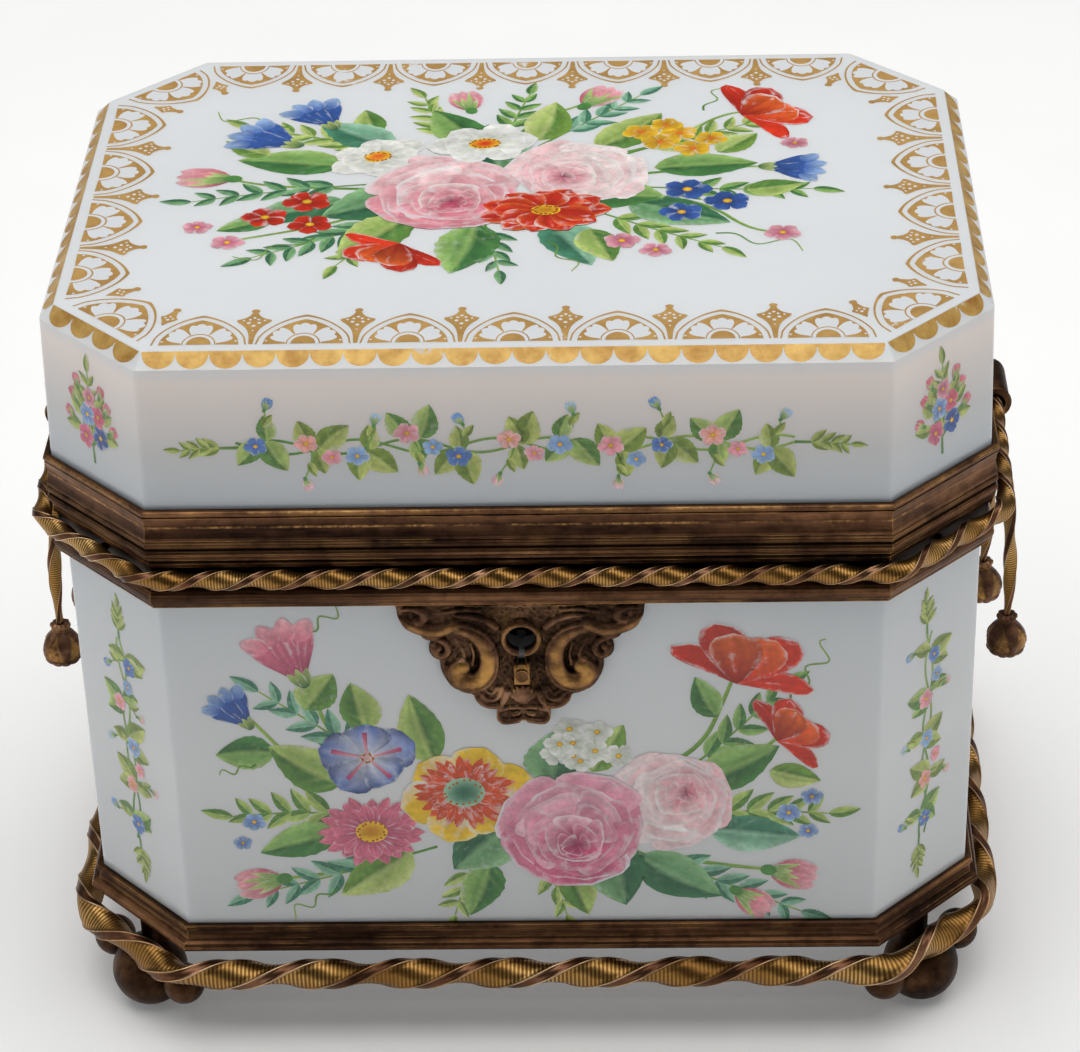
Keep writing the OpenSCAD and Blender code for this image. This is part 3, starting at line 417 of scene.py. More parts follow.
def rope_section(a):
    """Share of the rope's radius at the angle a, and how far that spot is on a ribbed panel and on a lip."""
    off = math.asin(min(1.0, abs(math.sin(a))))
    lip = math.exp(-((off - LIP_ANGLE) / LIP_WIDTH) ** 2)
    ribbed = held((off - LIP_ANGLE - 0.05) * 9)
    if off < LIP_ANGLE:
        edge = 0.93 - 0.035 * (off / LIP_ANGLE) ** 2
    else:
        edge = 0.68 + 0.26 * abs(math.cos(a)) ** 2.2
    return edge - 0.035 * ribbed + 0.085 * lip, ribbed, lip


def twisted_bar(shape, centres, sides, lifts, reach, lay, radius, loop):
    """A bar twisted along the centres: two sunk ribbed panels between thin lips, and two smooth edges."""
    look = shape.verts.layers.float_color.new("strand")
    sections = [(a, *rope_section(a)) for a in ROUND_THE_BAR]

    def lay_ring(corner, row, column):
        i = row % len(centres)
        a, share, ribbed, lip = sections[column]
        wave = 0.5 + 0.5 * math.cos(math.tau * i / RINGS_A_RIB)
        r = radius(i)
        k = r * (share - 0.034 * (1 - wave) * ribbed * (1 - lip))
        q = a + math.tau * reach[row] / lay
        corner.co = centres[i] + sides[i] * (k * math.cos(q) * MM) + lifts[i] * (k * math.sin(q) * MM)
        corner[look] = (ribbed * (1 - lip), wave, lip, 1)

    woven_grid(shape, len(centres) - (0 if loop else 1), len(sections) - 1, lay_ring)
    weld(shape, 0.002)
    if not loop:
        bmesh.ops.holes_fill(shape, edges=[e for e in shape.edges if e.is_boundary], sides=0)
    bmesh.ops.recalc_face_normals(shape, faces=shape.faces)


def level_rope(name, points, z, radius, pitch, loop, node):
    """A twisted bar at one height, with a whole number of twists, in the place of the node."""
    reach = run_out(points + points[:1] if loop else points)
    lay = reach[-1] / round(reach[-1] / pitch)
    n = len(points)
    sides = []
    for i in range(n):
        before = points[(i - 1) % n] if loop else points[max(i - 1, 0)]
        after = points[(i + 1) % n] if loop else points[min(i + 1, n - 1)]
        head = (after - before).normalized()
        sides.append(Vector((head.y, -head.x, 0)))
    centres = [Vector((p.x, p.y, z)) * MM for p in points]
    shape = bmesh.new()
    twisted_bar(shape, centres, sides, [Vector((0, 0, 1))] * n, reach, lay, lambda i: radius, loop)
    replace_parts(add_piece(name, shape, "base", ROPES), node)


def cut_corners(out, extra):
    """The box's eight outline corners moved out, the canted sides by extra more, from the front's left."""
    x, y = HALF_W + out, HALF_D + out
    c = CORNER_CUT + (2 - math.sqrt(2)) * out - math.sqrt(2) * extra
    return [Vector(p) for p in ((-x + c, -y), (x - c, -y), (x, -y + c), (x, y - c),
                                (x - c, y), (-x + c, y), (-x, y - c), (-x, -y + c))]


def lay_ropes():
    """The skirt rope from the back's middle all the way round, and the waist rope from cap to cap."""
    v = cut_corners(SKIRT_OUT, SKIRT_SWELL)
    back = Vector((0, HALF_D + SKIRT_OUT))
    ring = bend_route([back] + v[5:] + v[:5] + [back], ROPE_BEND, SKIRT_RING)[:-1]
    level_rope("skirt_rope_twisted", ring, SKIRT_Z, SKIRT_R, SKIRT_PITCH, True, "skirt_rope")
    side, cap, y = HALF_W + WAIST_SIDE_OUT, HALF_W + CAP_OUT, HALF_D + WAIST_OUT
    total = HALF_W + HALF_D - CORNER_CUT + math.sqrt(2) * WAIST_CANT_OUT
    front = [Vector(p) for p in ((-cap, WAIST_END_Y), (-side, side - total), (y - total, -y),
                                 (total - y, -y), (side, side - total), (cap, WAIST_END_Y))]
    run = bend_route(front, ROPE_BEND, WAIST_RING)
    level_rope("waist_rope_twisted", run, WAIST_Z, WAIST_R, WAIST_PITCH, False, "waist_rope")


def hang_tassel(side, place, out, y0, y1):
    """One twisted cord and its fluted head, on the side -1 or 1 of the box."""
    start = Vector((HALF_W + CAP_OUT, y0, CAP_BOTTOM))
    stop = Vector((HALF_W + out, y1, HEAD_TOP))
    belly = Vector((HALF_W + max(CAP_OUT, out) + CORD_BELLY, (y0 + y1) / 2, (start.z + stop.z) / 2))
    marks = [i / CORD_RINGS for i in range(CORD_RINGS + 1)]
    route = [(1 - t) ** 2 * start + 2 * t * (1 - t) * belly + t * t * stop for t in marks]
    centres = [Vector((side * p.x, p.y, p.z)) * MM for p in route]

    def radius(i):
        t, widest = marks[i], 0.55
        if t < widest:
            return CORD_R * (0.85 + 0.15 * math.sin(math.pi / 2 * t / widest))
        return CORD_R * (1 - 0.35 * (t - widest) / 0.45)

    reach = [t * (start.z - stop.z) for t in marks]
    across, ahead = [Vector((1, 0, 0))] * len(marks), [Vector((0, -1, 0))] * len(marks)
    shape = bmesh.new()
    twisted_bar(shape, centres, across, ahead, reach, CORD_PITCH, radius, False)
    where = "left" if side < 0 else "right"
    cord = add_piece(f"tassel_cord_twisted_{where}_{place}", shape, "base", ROPES)
    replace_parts(cord, f"tassel_cord_{where}_{place}")
    bell = turn_tassel_head(Vector((side * (HALF_W + out), y1, HEAD_TOP)))
    head = add_piece(f"tassel_head_{where}_{place}", bell, "base", PLATE)
    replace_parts(head, f"tassel_{where}_{place}")


# the head's radius, and how far down from its top
HEAD_PROFILE = [(0.0, 0.0), (1.2, 0.0), (1.6, 0.3), (1.65, 0.8), (1.4, 1.2), (1.8, 1.8), (2.6, 2.7),
                (3.2, 3.6), (3.5, 4.6), (3.5, 5.4), (3.15, 6.3), (2.45, 7.1), (1.4, 7.7), (0.0, 7.9)]
HEAD_PANELS = 5
HEAD_ROWS, HEAD_COLUMNS = 80, 120
# how far down the collar, the panels, the ribs between them and the row of beads lie
COLLAR_Z, PANEL_TOP, PANEL_FOOT, RIB_TOP, RIB_FOOT, BEADS_Z = 0.5, 1.9, 6.3, 1.6, 6.4, 6.9


def turn_tassel_head(top):
    """A bell hanging from top: pointed stippled panels between smooth ribs, and a row of beads below."""
    shape = bmesh.new()
    relief = shape.verts.layers.float.new("relief")

    def lay(corner, row, column):
        t = row / HEAD_ROWS * (len(HEAD_PROFILE) - 1)
        k = min(int(t), len(HEAD_PROFILE) - 2)
        (r0, z0), (r1, z1) = HEAD_PROFILE[k], HEAD_PROFILE[k + 1]
        r, z = r0 + (r1 - r0) * (t - k), z0 + (z1 - z0) * (t - k)
        a = math.tau * column / HEAD_COLUMNS
        off = abs((a * HEAD_PANELS / math.tau) % 1 - 0.5) * 2
        high = held((z - PANEL_TOP) / 3.6)
        panel = held((high ** 0.6 * 0.86 - off) * 5) * held((PANEL_FOOT - z) * 1.6)
        pits = noise.noise(Vector((math.cos(a) * r * 2.6, math.sin(a) * r * 2.6, z * 2.6)) + top)
        beads = max(0.0, 1 - ((z - BEADS_Z) / 0.8) ** 2) * abs(math.cos(HEAD_PANELS * a)) ** 0.6
        collar = max(0.0, 1 - ((z - COLLAR_Z) / 0.6) ** 2) * abs(math.cos(4 * a))
        rib = max(0.0, 1 - panel * 2) * held(z - RIB_TOP) * held(RIB_FOOT - z)
        r = (r * 0.96 * (1 - 0.08 * panel) + 0.32 * beads + 0.16 * collar - 0.12 * (1 - collar) * (z < 1)
             + 0.16 * pits * panel)
        corner.co = (top + Vector((r * math.cos(a), r * math.sin(a), -z))) * MM
        worn = 0.35 + 0.12 * rib + 0.2 * beads + 0.1 * collar + (0.62 + 0.3 * pits) * panel
        corner[relief] = held(worn)

    woven_grid(shape, HEAD_ROWS, HEAD_COLUMNS, lay)
    weld(shape, 0.004)
    bmesh.ops.recalc_face_normals(shape, faces=shape.faces)
    return shape


def hang_tassels():
    for side in (-1, 1):
        for tassel in TASSELS:
            hang_tassel(side, *tassel)


# ---- lock plate -------------------------------------------------------------

# the plate's right half, across and up from the keyhole's middle: its edge, and the ovals that swell past it
PLATE_TOP = 6.3
PLATE_EDGE = [(18.4, PLATE_TOP), (18.2, 4.4), (17.0, 2.0), (14.2, 0.2), (11.0, -1.5), (4.0, -8.0),
              (2.6, -14.6)]
PLATE_LOBES = [(11.7, -1.8, 2.05, 2.05), (7.3, -4.1, 4.9, 5.9), (4.3, -9.6, 3.05, 3.05),
               (2.1, -13.7, 2.0, 2.0)]
# raised work: its line, its half width at the line's start and at its end, and the level that it stands on
PLATE_LINES = [
    ([(10.2, 1.9), (8.0, 1.3), (6.4, 0.3), (5.3, -1.4), (4.9, -3.4), (5.1, -5.6), (6.3, -7.3), (8.0, -7.8),
      (9.6, -7.0), (9.9, -5.6), (9.0, -4.9)], 0.7, 1.35, 0.75),
    ([(10.0, 2.7), (7.8, 2.4), (5.6, 1.3), (4.1, -0.9), (3.5, -3.6), (3.9, -6.6), (5.4, -8.8), (8.0, -9.5),
      (10.3, -8.4), (11.3, -6.4)], 0.2, 0.28, 1.15),
    ([(9.4, -5.0), (8.3, -4.9), (8.2, -6.1), (9.1, -6.5)], 0.4, 0.3, 1.2),
    ([(18.0, 3.9), (16.4, 2.4), (14.0, 1.5), (12.0, 1.4), (10.0, 2.4)], 0.45, 0.9, 0.9),
    ([(17.4, 5.3), (15.6, 5.5), (14.2, 4.6), (14.2, 3.4), (15.4, 3.1)], 0.35, 0.6, 0.9),
    ([(14.6, 0.4), (12.6, 0.2), (11.0, -0.8), (10.8, -2.4), (12.0, -3.2), (13.0, -2.3), (12.3, -1.5)], 0.3,
      0.55, 0.95),
    ([(9.3, 4.0), (7.2, 4.0), (5.2, 3.3), (3.7, 2.0)], 0.3, 0.55, 0.8),
    ([(11.5, 4.6), (8.6, 5.3), (6.0, 5.0)], 0.3, 0.4, 0.8),
    ([(7.4, -4.6), (7.0, -2.8), (7.6, -1.0)], 0.45, 0.25, 0.7),
    ([(8.6, -4.4), (8.5, -2.6), (9.6, -0.6)], 0.45, 0.25, 0.7),
    ([(7.3, -10.2), (6.4, -11.7), (4.6, -12.4), (2.9, -11.8), (2.3, -9.6)], 0.3, 0.45, 0.85),
    ([(6.5, -9.7), (5.6, -10.9), (4.4, -11.2), (3.5, -10.4), (3.1, -8.8)], 0.25, 0.4, 0.8),
    ([(5.6, -9.3), (4.9, -10.0), (4.2, -9.7), (3.8, -8.8)], 0.22, 0.35, 0.75),
    ([(0.0, -11.8), (0.0, -8.6)], 0.14, 0.3, 0.95), ([(0.25, -11.8), (0.75, -8.7)], 0.14, 0.3, 0.92),
    ([(0.5, -11.7), (1.45, -9.1)], 0.14, 0.28, 0.89), ([(0.75, -11.6), (2.0, -9.8)], 0.14, 0.26, 0.86),
    ([(2.6, -12.6), (4.1, -13.0), (4.3, -14.3), (3.0, -15.2), (1.4, -14.9), (0.0, -14.6)], 0.4, 0.42, 0.95),
    ([(2.8, -12.6), (1.4, -12.4), (0.0, -12.5)], 0.3, 0.35, 0.9),
    ([(1.5, -13.6), (0.8, -13.5)], 0.4, 0.36, 1.0),
]


def rounded(line, times=2):
    """The line with its corners cut off, again and again."""
    points = [Vector(p) for p in line]
    for _ in range(times if len(points) > 2 else 0):
        cut = [p for a, b in zip(points, points[1:]) for p in (a.lerp(b, 0.25), a.lerp(b, 0.75))]
        points = [points[0]] + cut + [points[-1]]
    return points


# each raised line smoothed, with the box that it lies in
PLATE_WORK = []
for line, start, stop, level in PLATE_LINES:
    smooth = [tuple(p) for p in rounded(line)]
    reach = max(start, stop) * 1.2
    xs, ys = zip(*smooth)
    room = (min(xs) - reach, max(xs) + reach, min(ys) - reach, max(ys) + reach)
    PLATE_WORK.append((smooth, start, stop, level, *room))


def past_oval(c, s, x, y, rx, ry):
    """How far out a ray from the keyhole along c, s leaves an oval."""
    a = (c / rx) ** 2 + (s / ry) ** 2
    b = c * x / rx ** 2 + s * y / ry ** 2
    d = b * b - a * ((x / rx) ** 2 + (y / ry) ** 2 - 1)
    return (b + math.sqrt(d)) / a if d > 0 else 0.0


def past_edge(c, s, edge):
    """How far out a ray from the keyhole crosses an outline's straight runs."""
    far = 0.0
    for (x0, y0), (x1, y1) in zip(edge, edge[1:]):
        across = c * (y1 - y0) - s * (x1 - x0)
        if abs(across) < 1e-9:
            continue
        t = (x0 * (y1 - y0) - y0 * (x1 - x0)) / across
        k = (x0 * s - y0 * c) / across
        if t > 0 and -1e-6 <= k <= 1 + 1e-6:
            far = max(far, t)
    return far


def plate_reach(c, s):
    """How far out the plate's edge is from the keyhole along c, s."""
    edge = [(0, PLATE_TOP)] + PLATE_EDGE + [(0, PLATE_EDGE[-1][1])]
    ovals = [past_oval(way * abs(c), s, *lobe) for way in (1, -1) for lobe in PLATE_LOBES]
    return max(past_edge(abs(c), s, edge), *ovals)


def near_line(x, y, line):
    """Distance to a broken line, and how far along it the nearest spot is."""
    best, share = 1e9, 0.0
    for i, ((x0, y0), (x1, y1)) in enumerate(zip(line, line[1:])):
        dx, dy = x1 - x0, y1 - y0
        t = held(((x - x0) * dx + (y - y0) * dy) / (dx * dx + dy * dy))
        d = math.hypot(x - x0 - dx * t, y - y0 - dy * t)
        if d < best:
            best, share = d, (i + t) / (len(line) - 1)
    return best, share


# the plate's ground and rolled edge, the dish in each scroll, the ring round the keyhole, the block below it
GROUND, EDGE_ROLL, EDGE_WIDTH = 0.62, 0.30, 1.1
DISH_X, DISH_Y, DISH_RX, DISH_RY, DISH_DEEP = 7.0, -4.0, 3.4, 4.3, 0.22
RING_OUT, RING_HALF, RING_LEVEL = 0.55, 0.42, 1.05
BLOCK_Y, BLOCK_HALF_W, BLOCK_HALF_H, BLOCK_TOP = -5.9, 1.25, 1.8, 2.0
PLATE_ROWS, PLATE_COLUMNS = 64, 420


def plate_height(x, y, inside):
    """Height of the carving above the glass, inside millimetres in from the plate's edge."""
    x = abs(x)
    pits = noise.noise(Vector((x * 1.7, y * 1.7, 3.0)))
    height = GROUND + 0.16 * pits + EDGE_ROLL * math.sin(math.pi * min(1.0, inside / EDGE_WIDTH))
    dish = math.hypot((x - DISH_X) / DISH_RX, (y - DISH_Y) / DISH_RY)
    if dish < 1:
        height -= DISH_DEEP * (1 - dish * dish)
    for line, start, stop, level, left, right, low, high in PLATE_WORK:
        if not (left < x < right and low < y < high):
            continue
        d, along = near_line(x, y, line)
        thick = start + (stop - start) * math.sin(math.pi / 2 * min(1.0, along * 1.6))
        foot = thick * 1.15
        if d < foot:
            height = max(height, level + 0.95 * thick * math.sqrt(max(0.0, 1 - (d / foot) ** 2)) - 0.15)
    ring = abs(math.hypot(x, y) - KEY_R - RING_OUT)
    if ring < RING_HALF:
        height = max(height, RING_LEVEL + 0.9 * math.sqrt(RING_HALF ** 2 - ring ** 2))
    block = max(x - BLOCK_HALF_W, abs(y - BLOCK_Y) - BLOCK_HALF_H)
    if block < 0:
        height = BLOCK_TOP - 0.25 * max(0.0, 1 + block * 5)
    return height + 0.05 * pits


def carve_lock_plate():
    """The plate's carved face from the keyhole out to its edge, with walls and a back flat on the glass."""
    shape = bmesh.new()
    relief = shape.verts.layers.float.new("relief")
    panel = wall_panel("front", BASE_INSET, KEY_Z)

    def lay(corner, row, column):
        a = math.tau * column / PLATE_COLUMNS
        c, s = math.cos(a), math.sin(a)
        inner = KEY_R
        if s < 0 and abs(c) * SLOT_DEEP < SLOT_HALF * abs(s):
            inner = SLOT_DEEP / abs(s)
        outer = plate_reach(c, s)
        r = inner + (outer - inner) * row / PLATE_ROWS
        height = plate_height(r * c, r * s, outer - r)
        corner.co = panel.spot(r * c, r * s, height)
        corner[relief] = held((height - 0.45) / 1.3)

    woven_grid(shape, PLATE_ROWS, PLATE_COLUMNS, lay)
    weld(shape, 0.002)
    rims = [e for e in shape.edges if e.is_boundary]
    sunk = bmesh.ops.extrude_edge_only(shape, edges=rims)["geom"]
    depth = panel.out * MM
    for corner in (v for v in sunk if isinstance(v, bmesh.types.BMVert)):
        corner.co -= depth * (depth.dot(corner.co - panel.spot(0, 0, 0)) / depth.length_squared)
    backs = [e for e in sunk if isinstance(e, bmesh.types.BMEdge) and e.is_boundary]
    bmesh.ops.bridge_loops(shape, edges=backs)
    bmesh.ops.recalc_face_normals(shape, faces=shape.faces)
    # the walls' faces come in another order each run, so they are put in one by their places
    in_place = sorted(shape.faces, key=lambda face: tuple(face.calc_center_median()))
    order = {face: k for k, face in enumerate(in_place)}
    shape.faces.sort(key=order.get)
    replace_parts(add_piece("lock_plate_carved", shape, "base", PLATE), "lock_plate")


# ---- painting on the glass --------------------------------------------------

CANT_X, CANT_Y = HALF_W - CORNER_CUT / 2, HALF_D - CORNER_CUT / 2
# the middle of each wall on the lid's outline, and the angle that it faces
WALLS = {"front": (0, -HALF_D, -90), "front_right": (CANT_X, -CANT_Y, -45), "right": (HALF_W, 0, 0),
         "back_right": (CANT_X, CANT_Y, 45), "back": (0, HALF_D, 90), "back_left": (-CANT_X, CANT_Y, 135),
         "left": (-HALF_W, 0, 180), "front_left": (-CANT_X, -CANT_Y, -135)}


class Panel:
    """A flat face of the glass: x to the right and y up as seen from outside, in millimetres."""

    def __init__(self, at, right, up):
        self.at_mm = Vector(at)
        self.right = Vector(right).normalized()
        self.up = Vector(up).normalized()
        self.out = self.right.cross(self.up)

    def spot(self, x, y, lift):
        return (self.at_mm + self.right * x + self.up * y + self.out * lift) * MM


def wall_panel(wall, inset, z, lean_in=0.0, rise=1.0):
    """The face of one wall at height z, leaning in by lean_in over rise."""
    x, y, azimuth = WALLS[wall]
    a = math.radians(azimuth)
    out = Vector((math.cos(a), math.sin(a), 0))
    at = Vector((x, y, z)) - out * inset
    return Panel(at, (-math.sin(a), math.cos(a), 0), out * -lean_in + Vector((0, 0, rise)))


def shade(colour, k, paint=1.0):
    """The colour k times as bright, laid on as thickly as paint says."""
    return tuple(held(c * k) for c in colour[:3]) + (held(paint),)


def blend_tints(a, b, share):
    t = held(share)
    return tuple(p + (q - p) * t for p, q in zip(a, b))


def turned(length, turn):
    return length * math.cos(math.radians(turn)), length * math.sin(math.radians(turn))


# in millimetres: one coat's height over the last, and how much higher a new start may lie
COAT, UNEVEN = 0.0011, 0.0010
CORNERS_AT_ONCE = 1500
# heights over the glass at which each layer of the paint and the gold starts
GOLD_LINE, GOLD_SHAPE, GOLD_LEAF = 0.006, 0.008, 0.01
SPRIG_COAT, VINE_COAT, LEAF_COAT, TIP_COAT, FOLIAGE_COAT = 0.01, 0.026, 0.028, 0.03, 0.032
SMALL_COAT, BUD_COAT, BLOSSOM_COAT = 0.036, 0.04, 0.045
BLOOM_COAT, FRONT_COAT, TOP_COAT = 0.052, 0.09, 0.128


class Painting:
    """Thin films of paint on the glass, each a coat above the last, with a tint at every corner."""

    def __init__(self, seed):
        self.dice = random.Random(seed)
        self.panel = None
        self.base = self.lift = SPRIG_COAT
        self.dried = []
        self.wet()

    def wet(self):
        self.shape = bmesh.new()
        self.tint = self.shape.verts.layers.float_color.new("tint")

    def dry(self):
        """Puts the fresh coats aside, because a small bmesh is quicker to add to."""
        coat = bpy.data.meshes.new("coat")
        self.shape.to_mesh(coat)
        self.shape.free()
        self.dried.append(coat)
        self.wet()

    def start(self, base=None):
        """Sets the brush down again, at base millimetres above the glass."""
        self.base = self.base if base is None else base
        self.lift = self.base + self.dice.uniform(0, UNEVEN)

    def film(self, rows, columns, where, tint):
        """One coat: where(u, w) says where it lies on the panel, and tint(u, w) its colour."""
        self.lift += COAT

        def lay(corner, row, column):
            u, w = row / rows, column / columns
            x, y = where(u, w)
            corner.co = self.panel.spot(x, y, self.lift)
            corner[self.tint] = tint(u, w)
        woven_grid(self.shape, rows, columns, lay)
        if len(self.shape.verts) > CORNERS_AT_ONCE:
            self.dry()

    def petal(self, x, y, turn, length, width, base, tip, widest=0.62, full=0.65, bend=0.0, rows=8, columns=6,
              fade=1.0, streaks=0.0, rim=None, notch=0.0):
        """A petal that grows from x, y at the angle turn, base coloured at its foot and tip at its end.

        It is widest at that share of its length, and bend and notch are shares of its length too. With fade
        under 1 it turns to tip sooner; streaks draws base along it, and rim colours its edge.
        """
        c, s = turned(1, turn)
        power = math.log(0.5) / math.log(widest)
        phase = self.dice.random() * 6
        warm = self.dice.uniform(0.9, 1.06)

        def where(u, w):
            side = 2 * w - 1
            reach = width / 2 * max(0.0, math.sin(math.pi * u ** power)) ** full * side
            a, b = length * (u - notch * u ** 6 * (1 - side * side)), reach + bend * length * u * u
            return x + a * c - b * s, y + a * s + b * c

        def tint(u, w):
            side = 2 * w - 1
            colour = blend_tints(base, tip, u ** fade)
            streak = 0.5 + 0.5 * math.cos(side * 9 + phase)
            colour = blend_tints(colour, base, streaks * streak * (1 - 0.5 * u))
            if rim is not None:
                colour = blend_tints(colour, rim, max(0.0, abs(side) * 1.6 - 0.75) * (0.3 + u))
            wash = noise.noise(Vector((x * 3 + u * 2.5, y * 3 + side * 2.2, length)))
            lines = noise.noise(Vector((side * 5.5 + phase, u * 1.3, x)))
            edge = max(0.0, abs(side) * 2.4 - 1.5) * 0.45 + max(0.0, u * 5 - 4.1) * 0.35
            light = 0.75 * max(0.0, lines - 0.12) * min(1.0, u * 2)
            return shade(colour, warm * (1 + 0.24 * wash + 0.16 * lines), 1 - edge * (0.7 + wash) - light)

        self.film(rows, columns, where, tint)

    def leaf(self, x, y, turn, length, wide, tones, veins=5):
        """A leaf with one half in shade, side veins and a pale edge."""
        dark, mid, light = tones
        c, s = turned(1, turn)
        bend = 0.1 * self.dice.choice((-1, 1))
        lit = self.dice.choice((-1, 1))
        phase = self.dice.random() * 6
        width = length * wide
        full = self.dice.choice((1.08, 1.04, 1.0, 0.94))

        def where(u, w):
            side = 2 * w - 1
            reach = width / 2 * max(0.0, math.sin(math.pi * u ** 0.78)) ** 0.86 * side
            b = reach * (1 + 0.04 * math.sin(u * 46 + phase)) + bend * length * u * u
            return x + length * u * c - b * s, y + length * u * s + b * c

        def tint(u, w):
            side = 2 * w - 1
            across = abs(side)
            if side * lit > 0:
                colour = blend_tints(mid, light, across * 0.9 + 0.25 * u)
            else:
                colour = blend_tints(dark, mid, across * 0.75)
            vein = math.cos(math.tau * veins * (u - across * 0.28))
            colour = blend_tints(colour, light, max(0.0, vein - 0.55) * 0.9 * (1 - across))
            if across < 0.16:
                colour = blend_tints(colour, light, 0.7)
            wash = noise.noise(Vector((x * 2 + u * 3, y * 2 + side * 2.5, length)))
            brushed = noise.noise(Vector((u * 9 - across * 5, phase, y)))
            thinner = 0.24 * across * across if side * lit > 0 else 0.05 * across
            return shade(colour, 1 + 0.28 * wash + 0.12 * brushed,
                         full - thinner + 0.1 * wash + 0.08 * brushed)

        self.film(14, 8, where, tint)

    def disc(self, x, y, rx, ry, turn, middle, rim, rows=3, around=14):
        """An oval dab, one colour at its middle and another at its rim."""
        c, s = turned(1, turn)

        def where(u, w):
            a, b = rx * u * math.cos(math.tau * w), ry * u * math.sin(math.tau * w)
            return x + a * c - b * s, y + a * s + b * c

        self.film(rows, around, where, lambda u, w: blend_tints(middle, rim, u * u))

    def stroke(self, points, start, stop, tint, end=None, smooth=3):
        """A brush line through the points, start wide at first and stop wide at the end."""
        line = rounded(points, smooth)
        n = len(line) - 1

        def where(u, w):
            i = round(u * n)
            head = (line[min(i + 1, n)] - line[max(i - 1, 0)]).normalized()
            r = (start + (stop - start) * u) / 2 * (2 * w - 1)
            return line[i].x - head.y * r, line[i].y + head.x * r

        self.film(n, 2, where, lambda u, w: shade(blend_tints(tint, end or tint, u), 0.82 + 0.36 * w))

    def done(self, name, body, material, slot="opal_glass"):
        """Joins all the coats into one piece."""
        self.dry()
        for coat in self.dried:
            self.shape.from_mesh(coat)
            bpy.data.meshes.remove(coat)
        weld(self.shape, 0.0004)
        add_piece(name, self.shape, body, material)


# a leaf's shaded half, its lit half and its edge
GREENS = [tuple(linear(code) for code in codes) for codes in (
    ("2a6337", "559148", "a2c670"), ("3a6f33", "729f46", "c0d27a"), ("2a6a50", "559877", "a0cfb0"),
    ("477a30", "8cb04c", "d0dc8c"), ("235740", "458556", "8fbd86"))]
OLIVE = tuple(linear(code) for code in ("557629", "93a943", "c8d07a"))
STEM, STEM_LIGHT = linear("4f8a35"), linear("9dbb58")
ROSE_DEEP, ROSE_MID, ROSE_PALE, ROSE_WHITE = map(linear, ("c93a5c", "e87f93", "f6bcc2", "fdeae8"))
RED, RED_DEEP, ORANGE, CORAL = map(linear, ("dd3413", "a01a08", "f4702a", "f29a70"))
BLUE, BLUE_DEEP, BLUE_PALE, BLUE_SOFT = map(linear, ("3d68b8", "26427f", "a9c6e6", "6a92cc"))
YELLOW, OCHRE, WHITE, GREY_GREEN = map(linear, ("f7cf2c", "c8811a", "f8f7f2", "b9c4ae"))
MAUVE, PINK, PLUM = map(linear, ("b83e70", "ef8399", "8a2550"))


def sprig(p, x, y, turn, length, pairs, size, tones=None):
    """A stem with small leaves in pairs."""
    p.start()
    c, s = turned(1, turn)
    bow = p.dice.uniform(-0.14, 0.14) * length
    tones = tones or p.dice.choice(GREENS)

    def along(t):
        return x + c * length * t - s * bow * t * t, y + s * length * t + c * bow * t * t

    p.stroke([along(t) for t in (0, 0.35, 0.7, 1)], 0.5, 0.25, STEM, STEM_LIGHT)
    for k in range(pairs):
        t = 0.3 + 0.7 * k / pairs
        px, py = along(t)
        for side in (-1, 1):
            spread = side * p.dice.uniform(26, 50)
            p.leaf(px, py, turn + spread, size * (1.2 - 0.55 * t), 0.42, tones, veins=3)
    p.leaf(*along(1), turn, size * 0.9, 0.4, tones, veins=3)


def rose(p, x, y, r, lean, deep=ROSE_DEEP, mid=ROSE_MID, pale=ROSE_PALE, rim=ROSE_WHITE):
    """Cabbage rose: broad petals wrapped closer and closer round a deep heart, which lies toward lean."""
    p.start()
    dx, dy = turned(r * 0.3, lean)
    p.disc(x, y, r * 0.7, r * 0.7, 0, deep, mid)
    for ring, (count, reach, wide, low, high, fade) in enumerate(((5, 1.0, 1.3, mid, pale, 1.2),
            (5, 0.86, 1.15, deep, pale, 0.9), (5, 0.72, 1.0, mid, rim, 1.4),
            (4, 0.58, 0.86, deep, pale, 1.0), (4, 0.43, 0.64, deep, rim, 1.7),
            (3, 0.3, 0.46, deep, mid, 1.0), (3, 0.19, 0.3, PLUM, deep, 1.0))):
        shift = ring / 6
        for k in range(count):
            turn = 360 * (k + 0.5 * (ring % 2)) / count + p.dice.uniform(-14, 14) + ring * 23
            size = r * reach * p.dice.uniform(0.9, 1.06)
            away = 0.5 - 0.5 * math.cos(math.radians(turn - lean))
            foot = blend_tints(deep, low, 0.4 + 0.6 * away)
            tip = blend_tints(blend_tints(high, mid, 0.75), blend_tints(high, rim, 0.5), away)
            width = r * wide * p.dice.uniform(0.9, 1.15)
            p.petal(x + dx * shift, y + dy * shift, turn, size, width, foot, tip, widest=0.7, full=0.5,
                    rows=10, columns=10, fade=fade, streaks=0.22, rim=tip, notch=0.09,
                    bend=p.dice.uniform(-0.2, 0.2))


